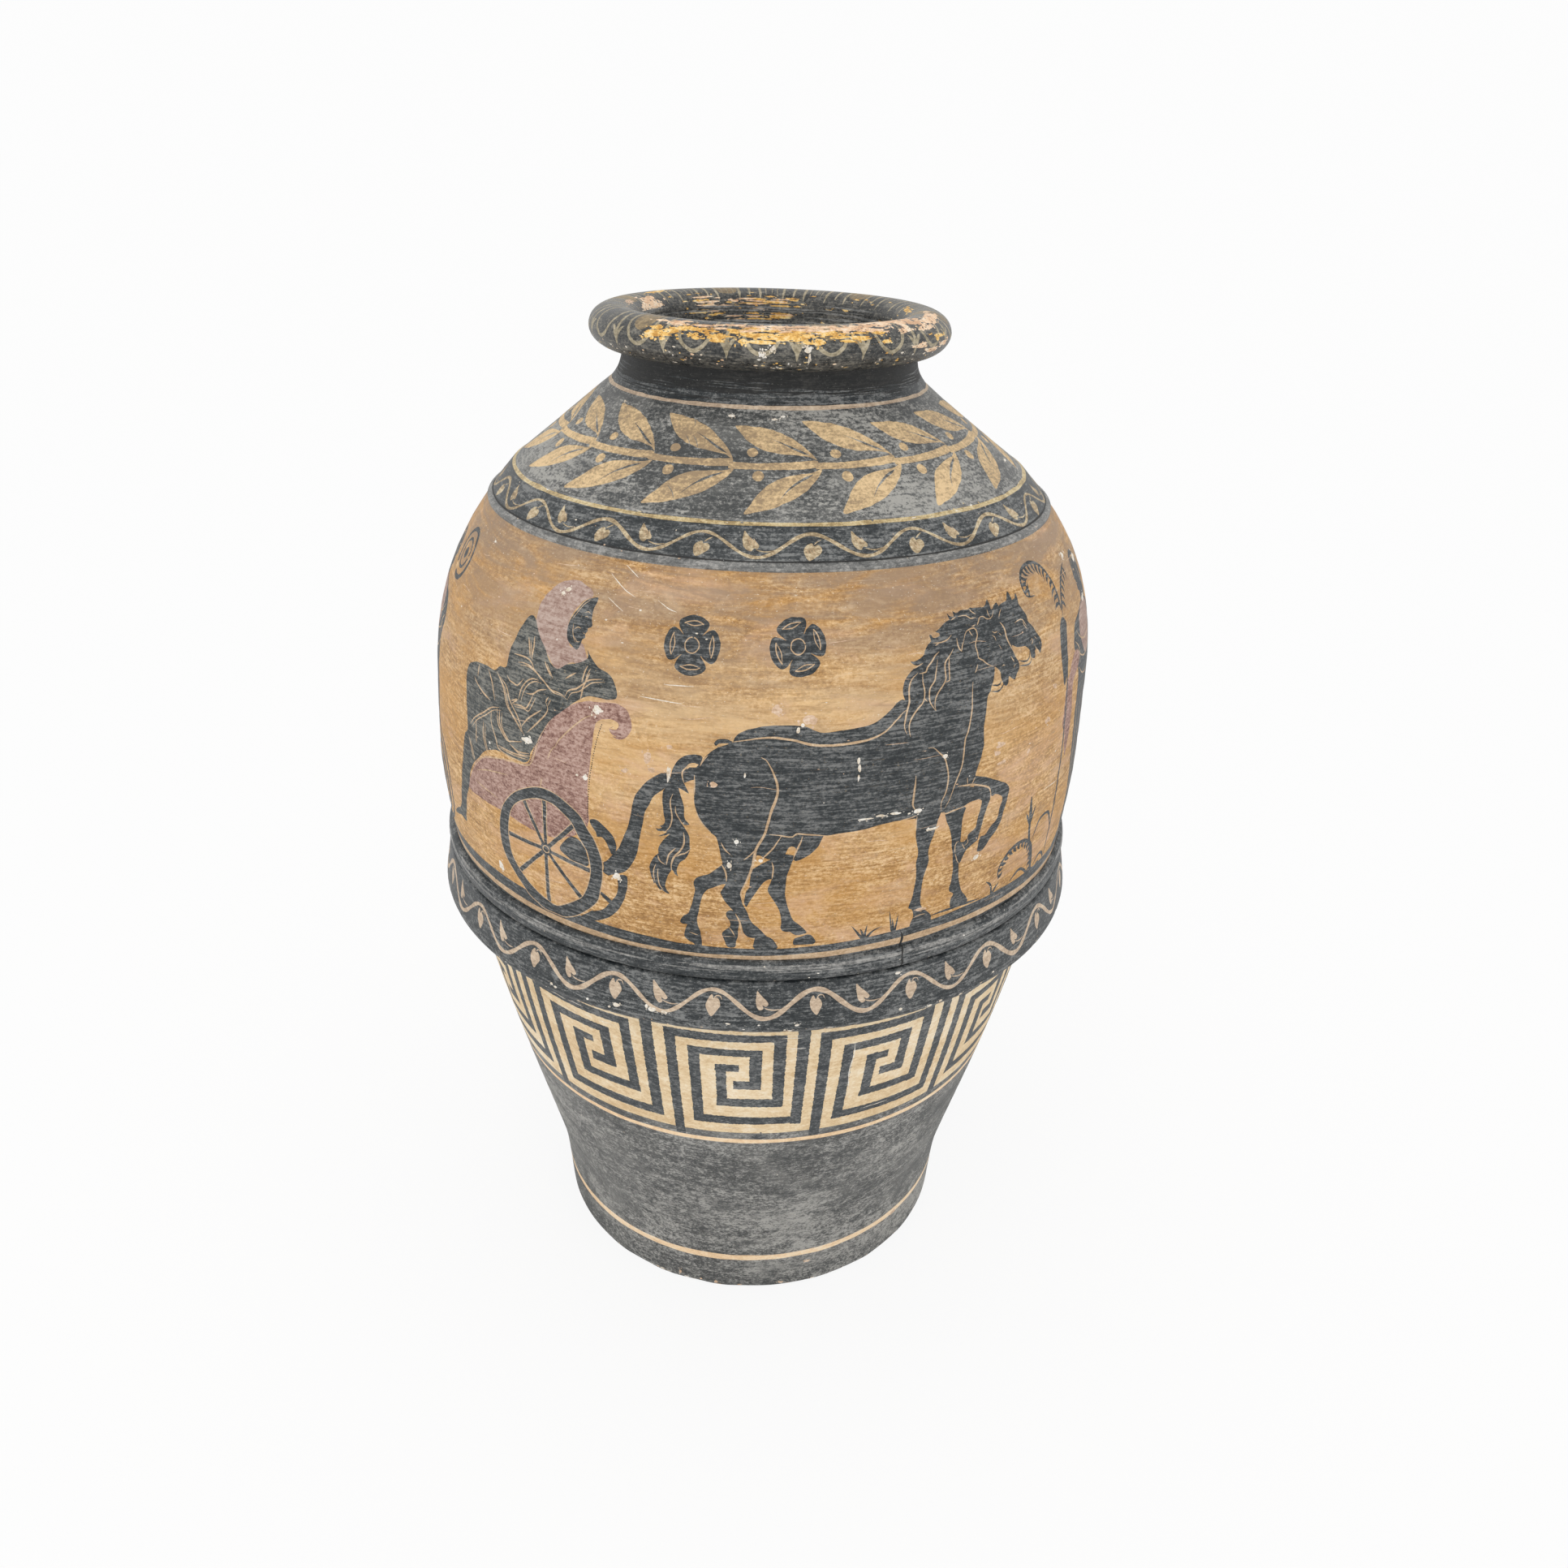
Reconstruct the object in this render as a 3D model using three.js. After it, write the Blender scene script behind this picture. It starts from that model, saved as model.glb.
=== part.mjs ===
// Large two-part painted jar, millimetres, +Z up, origin at the centre of the underside.
// A potter throws it in rings that are luted together; each ring is a separate solid here.
import * as THREE from 'three';
import { mergeVertices } from 'three/addons/utils/BufferGeometryUtils.js';

// Heights of the stacked rings, from the floor up
const baseThickness = 26;
const footHeight = 94;
const lowerWallHeight = 358;
const collarHeight = 55;
const lowerBellyHeight = 132;
const upperBellyHeight = 250;
const ivyBandHeight = 33;
const shoulderHeight = 80;
const neckHeight = 32;
const rimHeight = 40;

// Outer radii of the wall where the rings meet
const baseRadius = 243;
const footTopRadius = 257;
const lowerWallTopRadius = 338;
const bellyRadius = 359;
const bellyFootInset = 10;
const ivyBandFootRadius = 292;
const ridgeRadius = 260;
const neckFootRadius = 161;
const neckRadius = 149;

// How fast the outer radius grows with height at those places
const baseSlope = 0.08;
const footTopSlope = 0.25;
const lowerWallTopSlope = 0.14;
const bellyFootSlope = 0.12;
const ivyBandFootSlope = -0.87;
const neckFootSlope = -0.95;

// Wall and the raised work on it
const wallThickness = 22;
const collarLipReach = 28;
const collarLipHeight = 9;
const collarLipRound = 7;
const collarTopReach = 9;
const rollHeight = 23;
const rollReach = 7;
const bandBeadReach = 2.5;
const bandBeadHeight = 6;
const rimWidth = 51;
const mouthStep = 3;
const luteGap = 0.3;

// Facets
const turns = 64;
const tangentStep = 4;

const baseTop = baseThickness;
const footTop = baseTop + footHeight;
const lowerWallTop = footTop + lowerWallHeight;
const collarTop = lowerWallTop + collarHeight;
const rollTop = collarTop + rollHeight;
const bellyMiddle = collarTop + lowerBellyHeight;
const bellyTop = bellyMiddle + upperBellyHeight;
const ridgeLevel = bellyTop + ivyBandHeight;
const shoulderTop = ridgeLevel + shoulderHeight;
const neckTop = shoulderTop + neckHeight;
const rimTop = neckTop + rimHeight;

const bellyFootRadius = bellyRadius - bellyFootInset;
const coneSlope = (neckFootRadius - ridgeRadius) / shoulderHeight;
const bandSlope = (ridgeRadius - ivyBandFootRadius) / ivyBandHeight;

// The plain wall as one chain of cubic stretches: level and radius at each end, slope at each end
const wallStretches = [
  { from: 0, to: footTop, r0: baseRadius, r1: footTopRadius, s0: baseSlope, s1: footTopSlope },
  { from: footTop, to: lowerWallTop, r0: footTopRadius, r1: lowerWallTopRadius,
    s0: footTopSlope, s1: lowerWallTopSlope },
  { from: lowerWallTop, to: collarTop, r0: lowerWallTopRadius, r1: bellyFootRadius,
    s0: lowerWallTopSlope, s1: bellyFootSlope },
  { from: collarTop, to: bellyMiddle, r0: bellyFootRadius, r1: bellyRadius, s0: bellyFootSlope, s1: 0 },
  { from: bellyMiddle, to: bellyTop, r0: bellyRadius, r1: ivyBandFootRadius, s0: 0, s1: ivyBandFootSlope },
  { from: bellyTop, to: ridgeLevel, r0: ivyBandFootRadius, r1: ridgeRadius, s0: bandSlope, s1: bandSlope },
  { from: ridgeLevel, to: shoulderTop, r0: ridgeRadius, r1: neckFootRadius, s0: coneSlope, s1: coneSlope },
  { from: shoulderTop, to: neckTop, r0: neckFootRadius, r1: neckRadius, s0: neckFootSlope, s1: 0 },
];

// Outer radius of the plain wall at a level
function wallRadius(level) {
  const inside = THREE.MathUtils.clamp(level, 0, neckTop);
  const stretch = wallStretches.find((piece) => inside <= piece.to);
  const height = stretch.to - stretch.from;
  const t = (inside - stretch.from) / height;
  const bend0 = stretch.s0 * height * t * (1 - t) * (1 - t);
  const bend1 = stretch.s1 * height * t * t * (t - 1);
  return stretch.r0 + (stretch.r1 - stretch.r0) * t * t * (3 - 2 * t) + bend0 + bend1;
}

// Inner radius: the wall keeps its thickness square to its own slope
function innerRadius(level) {
  const below = wallRadius(level - tangentStep);
  const above = wallRadius(level + tangentStep);
  const slope = (above - below) / (2 * tangentStep);
  return wallRadius(level) - wallThickness * Math.hypot(1, slope);
}

// Points up the outside of the wall, or down its inside
function wallPoints(radiusAt, fromLevel, toLevel, steps) {
  const points = [];
  for (let i = 0; i <= steps; i += 1) {
    const level = fromLevel + ((toLevel - fromLevel) * i) / steps;
    points.push(new THREE.Vector2(radiusAt(level), level));
  }
  return points;
}

// An arc of an ellipse in the profile plane, by angle in degrees from straight outwards
function arcPoints(radius, level, halfWidth, halfHeight, startAngle, endAngle, steps) {
  const points = [];
  for (let i = 0; i <= steps; i += 1) {
    const angle = THREE.MathUtils.degToRad(startAngle + ((endAngle - startAngle) * i) / steps);
    const out = radius + halfWidth * Math.cos(angle);
    const up = level + halfHeight * Math.sin(angle);
    points.push(new THREE.Vector2(out, up));
  }
  return points;
}

// Turns a closed profile about Z into one closed body without collapsed faces
function revolve(profile) {
  const lathe = new THREE.LatheGeometry([...profile, profile[0]], turns);
  lathe.deleteAttribute('normal');
  lathe.deleteAttribute('uv');
  lathe.rotateX(Math.PI / 2);
  const merged = mergeVertices(lathe, 0.001);
  const index = merged.getIndex().array;
  const kept = [];
  for (let i = 0; i < index.length; i += 3) {
    const [a, b, c] = [index[i], index[i + 1], index[i + 2]];
    if (a !== b && b !== c && c !== a) {
      kept.push(a, b, c);
    }
  }
  merged.setIndex(kept);
  merged.computeVertexNormals();
  return merged;
}

function ceramic(color, roughness) {
  return new THREE.MeshStandardMaterial({ color, roughness, metalness: 0 });
}

const vase = new THREE.Group();

function addRing(name, profile, material) {
  const mesh = new THREE.Mesh(revolve(profile), material);
  mesh.name = name;
  vase.add(mesh);
}

// A plain stretch of wall between two levels
function wallRing(fromLevel, toLevel, steps) {
  const outside = wallPoints(wallRadius, fromLevel, toLevel, steps);
  const inside = wallPoints(innerRadius, toLevel, fromLevel, steps);
  return [...outside, ...inside];
}

// Base disc: the solid slab that the jar stands on
function baseDisc() {
  const centreBottom = new THREE.Vector2(0, 0);
  const centreTop = new THREE.Vector2(0, baseTop);
  return [centreBottom, ...wallPoints(wallRadius, 0, baseTop, 2), centreTop];
}

// Collar: the thick flared ring that closes the lower half, with its overhanging lip
function collarBand() {
  const lipRadius = lowerWallTopRadius + collarLipReach;
  const lipLevel = lowerWallTop + collarLipHeight;
  const lip = arcPoints(lipRadius - collarLipRound, lipLevel, collarLipRound, collarLipHeight, -90, 0, 3);
  const topEdge = new THREE.Vector2(bellyFootRadius + collarTopReach, collarTop);
  return [
    new THREE.Vector2(lowerWallTopRadius, lowerWallTop),
    ...lip,
    topEdge,
    ...wallPoints(innerRadius, collarTop, lowerWallTop, 2),
  ];
}

// Lower belly: one facet of its outside runs up to the roll's top, so that the roll sits flat on it
function lowerBelly() {
  const behindRoll = wallPoints(wallRadius, collarTop, rollTop, 1);
  const aboveRoll = wallPoints(wallRadius, rollTop, bellyMiddle, 3).slice(1);
  const inside = wallPoints(innerRadius, bellyMiddle, collarTop, 4);
  return [...behindRoll, ...aboveRoll, ...inside];
}

// Roll moulding: the clay coil that covers the joint of the two halves, on the collar's top face
function rollMoulding() {
  const seatLow = wallRadius(collarTop) + luteGap;
  const seatHigh = wallRadius(rollTop) + luteGap;
  const widest = Math.max(seatLow, seatHigh);
  const middle = collarTop + rollHeight / 2;
  const bulge = arcPoints(widest, middle, rollReach, rollHeight / 2, -90, 90, 8);
  return [new THREE.Vector2(seatLow, collarTop), ...bulge, new THREE.Vector2(seatHigh, rollTop)];
}

// Ivy band: the raised ring at the top of the belly, with a bead at its foot and a ridge at its head
function ivyBand() {
  const halfBead = bandBeadHeight / 2;
  const proudLevels = [bellyTop + halfBead, bellyTop + bandBeadHeight, ridgeLevel - halfBead];
  return [
    new THREE.Vector2(wallRadius(bellyTop), bellyTop),
    ...proudLevels.map((level) => new THREE.Vector2(wallRadius(level) + bandBeadReach, level)),
    new THREE.Vector2(wallRadius(ridgeLevel), ridgeLevel),
    ...wallPoints(innerRadius, ridgeLevel, bellyTop, 2),
  ];
}

// Rim: the wall rolled over outwards into a thick round lip
function rimRoll() {
  const throat = innerRadius(neckTop);
  const halfWidth = rimWidth / 2;
  const halfHeight = rimHeight / 2;
  const mouth = throat + mouthStep;
  const middle = neckTop + halfHeight;
  return [
    new THREE.Vector2(throat, neckTop),
    ...arcPoints(mouth + halfWidth, middle, halfWidth, halfHeight, -90, 180, 15),
  ];
}

const slipBlack = ceramic(0x4a4b48, 0.62);
const slipWorn = ceramic(0x6f706d, 0.7);
const bareOchre = ceramic(0xc09a63, 0.72);
const cream = ceramic(0xe6d2b0, 0.72);
const laurelGold = ceramic(0x9c8763, 0.68);
const rimWear = ceramic(0x7c6642, 0.6);

addRing('base_disc', baseDisc(), slipWorn);
addRing('foot_section', wallRing(baseTop, footTop, 3), slipWorn);
addRing('lower_wall', wallRing(footTop, lowerWallTop, 6), cream);
addRing('collar_band', collarBand(), slipBlack);
addRing('roll_moulding', rollMoulding(), slipBlack);
addRing('lower_belly', lowerBelly(), bareOchre);
addRing('upper_belly', wallRing(bellyMiddle, bellyTop, 9), bareOchre);
addRing('ivy_band', ivyBand(), slipBlack);
addRing('shoulder_cone', wallRing(ridgeLevel, shoulderTop, 3), laurelGold);
addRing('neck_ring', wallRing(shoulderTop, neckTop, 3), slipBlack);
addRing('rim_roll', rimRoll(), rimWear);

export default vase;
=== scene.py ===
"""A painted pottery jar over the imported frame, with each band cut along its painted outlines."""
import math
import random

import bpy
import numpy as np
from mathutils import Matrix, Vector
from mathutils.geometry import delaunay_2d_cdt


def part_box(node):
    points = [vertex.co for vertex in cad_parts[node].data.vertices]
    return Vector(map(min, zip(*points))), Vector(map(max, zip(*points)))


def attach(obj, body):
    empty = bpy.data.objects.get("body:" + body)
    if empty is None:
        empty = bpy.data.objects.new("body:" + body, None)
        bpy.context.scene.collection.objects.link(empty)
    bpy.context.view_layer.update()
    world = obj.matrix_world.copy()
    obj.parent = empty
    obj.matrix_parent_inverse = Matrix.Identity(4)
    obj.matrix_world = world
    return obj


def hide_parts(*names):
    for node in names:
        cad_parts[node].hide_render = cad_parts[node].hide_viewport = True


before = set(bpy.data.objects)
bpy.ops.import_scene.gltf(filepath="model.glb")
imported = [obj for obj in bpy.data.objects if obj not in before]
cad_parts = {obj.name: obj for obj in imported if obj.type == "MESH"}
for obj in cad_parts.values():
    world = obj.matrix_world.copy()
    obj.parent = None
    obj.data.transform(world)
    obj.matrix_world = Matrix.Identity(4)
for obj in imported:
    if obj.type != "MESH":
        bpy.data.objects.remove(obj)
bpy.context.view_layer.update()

# Sizes in millimetres; levels and the radii where the rings meet come from the CAD nodes
MM = 0.001
MM_PER_METRE = 1000
WALL = 22.0
TANGENT_STEP = 4
LIP_REACH = 28
LIP_ROUND = (7.0, 9.0)
COLLAR_TOP_REACH = 9
COLLAR_EDGE_ROUND = 2
ROLL_BULGE = (7.0, 11.5)
SEAT = 0.3
MOUTH_STEP = 3
RIM_TUBE = (25.5, 20.0)

# How fast the outer radius grows with height where the rings meet
BASE_SLOPE = 0.08
FOOT_TOP_SLOPE = 0.25
WAIST_SLOPE = 0.14
BELLY_FOOT_SLOPE = 0.12
SHOULDER_SLOPE = -0.87
NECK_FOOT_SLOPE = -0.95

# The ivy band's bead, and the slightly raised band over it
BEAD_HEIGHT = 9.0
BEAD_PROUD = 2.3
BAND_RISE = 2.5
BAND_FALL = 3.0
BAND_PROUD = 1.0

# Fineness of the mesh
COLUMNS = 180
INNER_COLUMNS = 120
PROFILE_STEPS = 240
LINE_STEP = 2.6
CUT_WELD = 0.004
SLIVER_AREA = 1e-7
TOUCH = 0.01
SEAM_LEVEL = 0.05
NORMAL_STEP = 0.6
SMOOTH_BEND = 0.8

# Share of the flat texture that the unpainted shell takes, and its margins
SHELL_SHARE = 0.16
SHELL_MARGIN = 0.01
SHELL_SPAN = 0.14

# A shell ring narrower than this is one point in the middle; the others ripple by this much
LONE_RADIUS = 0.5
RIPPLE = 0.8

NODES = list(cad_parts)
Z = {name: (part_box(name)[0][2] * MM_PER_METRE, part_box(name)[1][2] * MM_PER_METRE) for name in NODES}


def joint_radius(name, z):
    """Outer radius of a CAD node at one of its own levels."""
    points = np.array([v.co[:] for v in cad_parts[name].data.vertices]) * MM_PER_METRE
    at_level = points[np.abs(points[:, 2] - z) < SEAM_LEVEL]
    return float(np.hypot(at_level[:, 0], at_level[:, 1]).max())


# Levels where the thrown rings meet
FLOOR, BASE_TOP = Z["base_disc"]
FOOT_TOP, WAIST = Z["lower_wall"]
COLLAR_TOP = Z["collar_band"][1]
ROLL_TOP = Z["roll_moulding"][1]
MIDDLE, BELLY_TOP = Z["upper_belly"]
RIDGE = Z["shoulder_cone"][0]
NECK_FOOT, NECK_TOP = Z["neck_ring"]
RIM_TOP = Z["rim_roll"][1]

RADII = {
    FLOOR: joint_radius("base_disc", FLOOR),
    FOOT_TOP: joint_radius("foot_section", FOOT_TOP),
    WAIST: joint_radius("lower_wall", WAIST),
    COLLAR_TOP: joint_radius("lower_belly", COLLAR_TOP),
    MIDDLE: joint_radius("lower_belly", MIDDLE),
    BELLY_TOP: joint_radius("upper_belly", BELLY_TOP),
    RIDGE: joint_radius("shoulder_cone", RIDGE),
    NECK_FOOT: joint_radius("shoulder_cone", NECK_FOOT),
    NECK_TOP: joint_radius("neck_ring", NECK_TOP),
}
BAND_SLOPE = (RADII[RIDGE] - RADII[BELLY_TOP]) / (RIDGE - BELLY_TOP)
CONE_SLOPE = (RADII[NECK_FOOT] - RADII[RIDGE]) / (NECK_FOOT - RIDGE)

# The plain wall as a chain of cubic stretches: level at each end, slope at each end
STRETCHES = [
    (FLOOR, FOOT_TOP, BASE_SLOPE, FOOT_TOP_SLOPE),
    (FOOT_TOP, WAIST, FOOT_TOP_SLOPE, WAIST_SLOPE),
    (WAIST, COLLAR_TOP, WAIST_SLOPE, BELLY_FOOT_SLOPE),
    (COLLAR_TOP, MIDDLE, BELLY_FOOT_SLOPE, 0.0),
    (MIDDLE, BELLY_TOP, 0.0, SHOULDER_SLOPE),
    (BELLY_TOP, RIDGE, BAND_SLOPE, BAND_SLOPE),
    (RIDGE, NECK_FOOT, CONE_SLOPE, CONE_SLOPE),
    (NECK_FOOT, NECK_TOP, NECK_FOOT_SLOPE, 0.0),
]

# Unevenness of the throwing: depth, waves round the jar, waves up it in radians per mm, shift
THROWING = (
    (0.35, 2, 0.0077, 0.4), (0.28, 3, 0.017, 2.1), (0.2, 5, 0.03, 4.0),
    (0.16, 1, 0.24, 1.0), (0.1, 2, 0.43, 3.3), (0.05, 1, 0.83, 5.1),
)
FOOT_WEAR_HEIGHT = 3.0
FOOT_WEAR = (0.5, 1.4)

# The shoulder settled a little to one side in firing: level, pull on the left, push on the right
SETTLED = (
    (640, 0, 0), (730, 5.0, -1.0), (815, 7.0, 3.0), (870, 7.5, 6.5), (905, 6.0, 8.0),
    (930, 3.0, 9.0), (948, 1.0, 9.5), (975, 1.5, 6.0), (1010, 1.0, 2.5), (1060, 2.5, 3.0),
)
SETTLED_SPREAD = 1.3


def wall(z):
    """Outer radius of the plain wall."""
    z = min(max(z, FLOOR), NECK_TOP)
    for low, high, s0, s1 in STRETCHES:
        if z <= high:
            h = high - low
            t = (z - low) / h
            r0, r1 = RADII[low], RADII[high]
            bend = s0 * h * t * (1 - t) ** 2 + s1 * h * t * t * (t - 1)
            return r0 + (r1 - r0) * t * t * (3 - 2 * t) + bend
    return RADII[NECK_TOP]


def inner(z):
    """Inner radius, square to the wall's own slope."""
    slope = (wall(z + TANGENT_STEP) - wall(z - TANGENT_STEP)) / (2 * TANGENT_STEP)
    return wall(z) - WALL * math.hypot(1, slope)


def sag(theta, z):
    """How far the hand-thrown surface lies inside the true round."""
    total = 0
    for size, turns, rate, shift in THROWING:
        total = total + size * 0.5 * (1 + np.sin(turns * theta + rate * z + shift))
    edge = np.clip(1 - z / FOOT_WEAR_HEIGHT, 0, 1)
    chips = 0.5 + 0.5 * np.sin(7 * theta + 1.3) * np.sin(11 * theta) + 0.4 * np.sin(23 * theta + 2.0)
    return total + edge ** 2 * (FOOT_WEAR[0] + FOOT_WEAR[1] * np.clip(chips, 0, 1))


def settle(theta, z):
    """How far the settled shoulder stands outside the true round."""
    z_at, left, right = np.array(SETTLED, float).T
    side = np.sin(theta)
    push = np.interp(z, z_at, right) * np.clip(side, 0, 1) ** SETTLED_SPREAD
    pull = np.interp(z, z_at, left) * np.clip(-side, 0, 1) ** SETTLED_SPREAD
    return push - pull


class Curve:
    """A band's outer profile: place v along it, radius and level."""

    def __init__(self, v, r, z, reference=None):
        self.v, self.r, self.z = (np.array(a, float) for a in (v, r, z))
        self.reference = float(self.r.max() if reference is None else reference)
        self.width = 2 * math.pi * self.reference

    def at(self, v):
        """Radius and level at a place along the band."""
        return np.interp(v, self.v, self.r), np.interp(v, self.v, self.z)


def plain_curve(low, high, proud=None):
    """The plain wall between two levels, by arc length, with raised work added square to it."""
    z = np.linspace(low, high, PROFILE_STEPS)
    r = np.array([wall(level) for level in z])
    v = np.concatenate([[0], np.cumsum(np.hypot(np.diff(z), np.diff(r)))])
    if proud is None:
        return Curve(v, r, z)
    dr, dz = np.gradient(r), np.gradient(z)
    size = np.hypot(dr, dz)
    lift = proud(v, v[-1])
    return Curve(v, r + lift * dz / size, z - lift * dr / size, r.max())


def path_curve(points, zero):
    """A profile through given points, with v = 0 at the point numbered zero."""
    r, z = np.array(points, float).T
    v = np.concatenate([[0], np.cumsum(np.hypot(np.diff(z), np.diff(r)))])
    return Curve(v - v[zero], r, z)


def arc(r, z, wide, high, start, end, steps):
    """Points on an ellipse in the profile plane, in degrees from straight outwards."""
    angles = np.radians(np.linspace(start, end, steps + 1))
    return [(r + wide * math.cos(a), z + high * math.sin(a)) for a in angles]


def bead(v, length):
    """How proud the ivy band stands: its rounded bead at the foot, and the raised band over it."""
    low = np.clip(v / BEAD_HEIGHT, 0, 1)
    rise = np.clip((v - BEAD_HEIGHT) / BAND_RISE, 0, 1)
    fall = np.clip((length - v) / BAND_FALL, 0, 1)
    rounded = BEAD_PROUD * np.sqrt(np.clip(np.sin(np.pi * low), 0, 1)) * (low < 1)
    return rounded + BAND_PROUD * rise * np.sqrt(fall)


LIP_R = RADII[WAIST] + LIP_REACH - LIP_ROUND[0]
COLLAR_EDGE = RADII[COLLAR_TOP] + COLLAR_TOP_REACH
COLLAR_POINTS = [
    (RADII[WAIST], WAIST),
    ((RADII[WAIST] + LIP_R) / 2, WAIST),
    *arc(LIP_R, WAIST + LIP_ROUND[1], *LIP_ROUND, -90, 0, 12),
    (COLLAR_EDGE + 0.5, COLLAR_TOP - 3),
    *arc(COLLAR_EDGE - COLLAR_EDGE_ROUND, COLLAR_TOP - COLLAR_EDGE_ROUND,
         COLLAR_EDGE_ROUND, COLLAR_EDGE_ROUND, 10, 90, 4),
    (RADII[COLLAR_TOP], COLLAR_TOP),
]
COLLAR_LIP_POINT = 6
ROLL_POINTS = arc(wall(ROLL_TOP) + SEAT, (COLLAR_TOP + ROLL_TOP) / 2, *ROLL_BULGE, -90, 90, 24)
THROAT = inner(NECK_TOP)
RIM_POINTS = [
    *arc(THROAT + MOUTH_STEP + RIM_TUBE[0], (NECK_TOP + RIM_TOP) / 2, *RIM_TUBE, -90, 180, 60),
    (THROAT, NECK_TOP),
]

CURVES = {
    "foot": plain_curve(FLOOR, FOOT_TOP),
    "lower": plain_curve(FOOT_TOP, WAIST),
    "collar": path_curve(COLLAR_POINTS, COLLAR_LIP_POINT),
    "roll": path_curve(ROLL_POINTS, 0),
    "frieze": plain_curve(COLLAR_TOP, BELLY_TOP),
    "ivy": plain_curve(BELLY_TOP, RIDGE, bead),
    "cone": plain_curve(RIDGE, NECK_FOOT),
    "neck": plain_curve(NECK_FOOT, NECK_TOP),
    "rim": path_curve(RIM_POINTS, 0),
}


def smooth(points, closed, step=LINE_STEP):
    """A Catmull-Rom curve through the points, sampled about every step millimetres."""
    p = [np.array(q, float) for q in points]
    n = len(p)
    spans = n if closed else n - 1
    out = []
    for i in range(spans):
        a, b = p[i], p[(i + 1) % n]
        before = p[(i - 1) % n] if closed or i > 0 else 2 * a - b
        after = p[(i + 2) % n] if closed or i + 2 < n else 2 * b - a
        count = max(1, int(round(np.linalg.norm((b - a)[:2]) / step)))
        for k in range(count):
            t = k / count
            out.append(0.5 * (2 * a + (b - before) * t + (2 * before - 5 * a + 4 * b - after) * t * t
                              + (3 * a - before - 3 * b + after) * t ** 3))
    if not closed:
        out.append(p[-1])
    return np.array(out)


def round_points(x, v, wide, high, count):
    """Points round a closed oval."""
    angles = [2 * math.pi * i / count for i in range(count)]
    return [(x + wide * math.cos(a), v + high * math.sin(a)) for a in angles]


def wander(count, rng, reach):
    """A smooth random run of numbers, about -1 to 1, that ends where it starts."""
    knots = max(3, int(count / reach))
    values = [rng.uniform(-1, 1) for _ in range(knots)]
    values.append(values[0])
    return np.interp(np.linspace(0, knots, count, endpoint=False), range(knots + 1), values)


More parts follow.
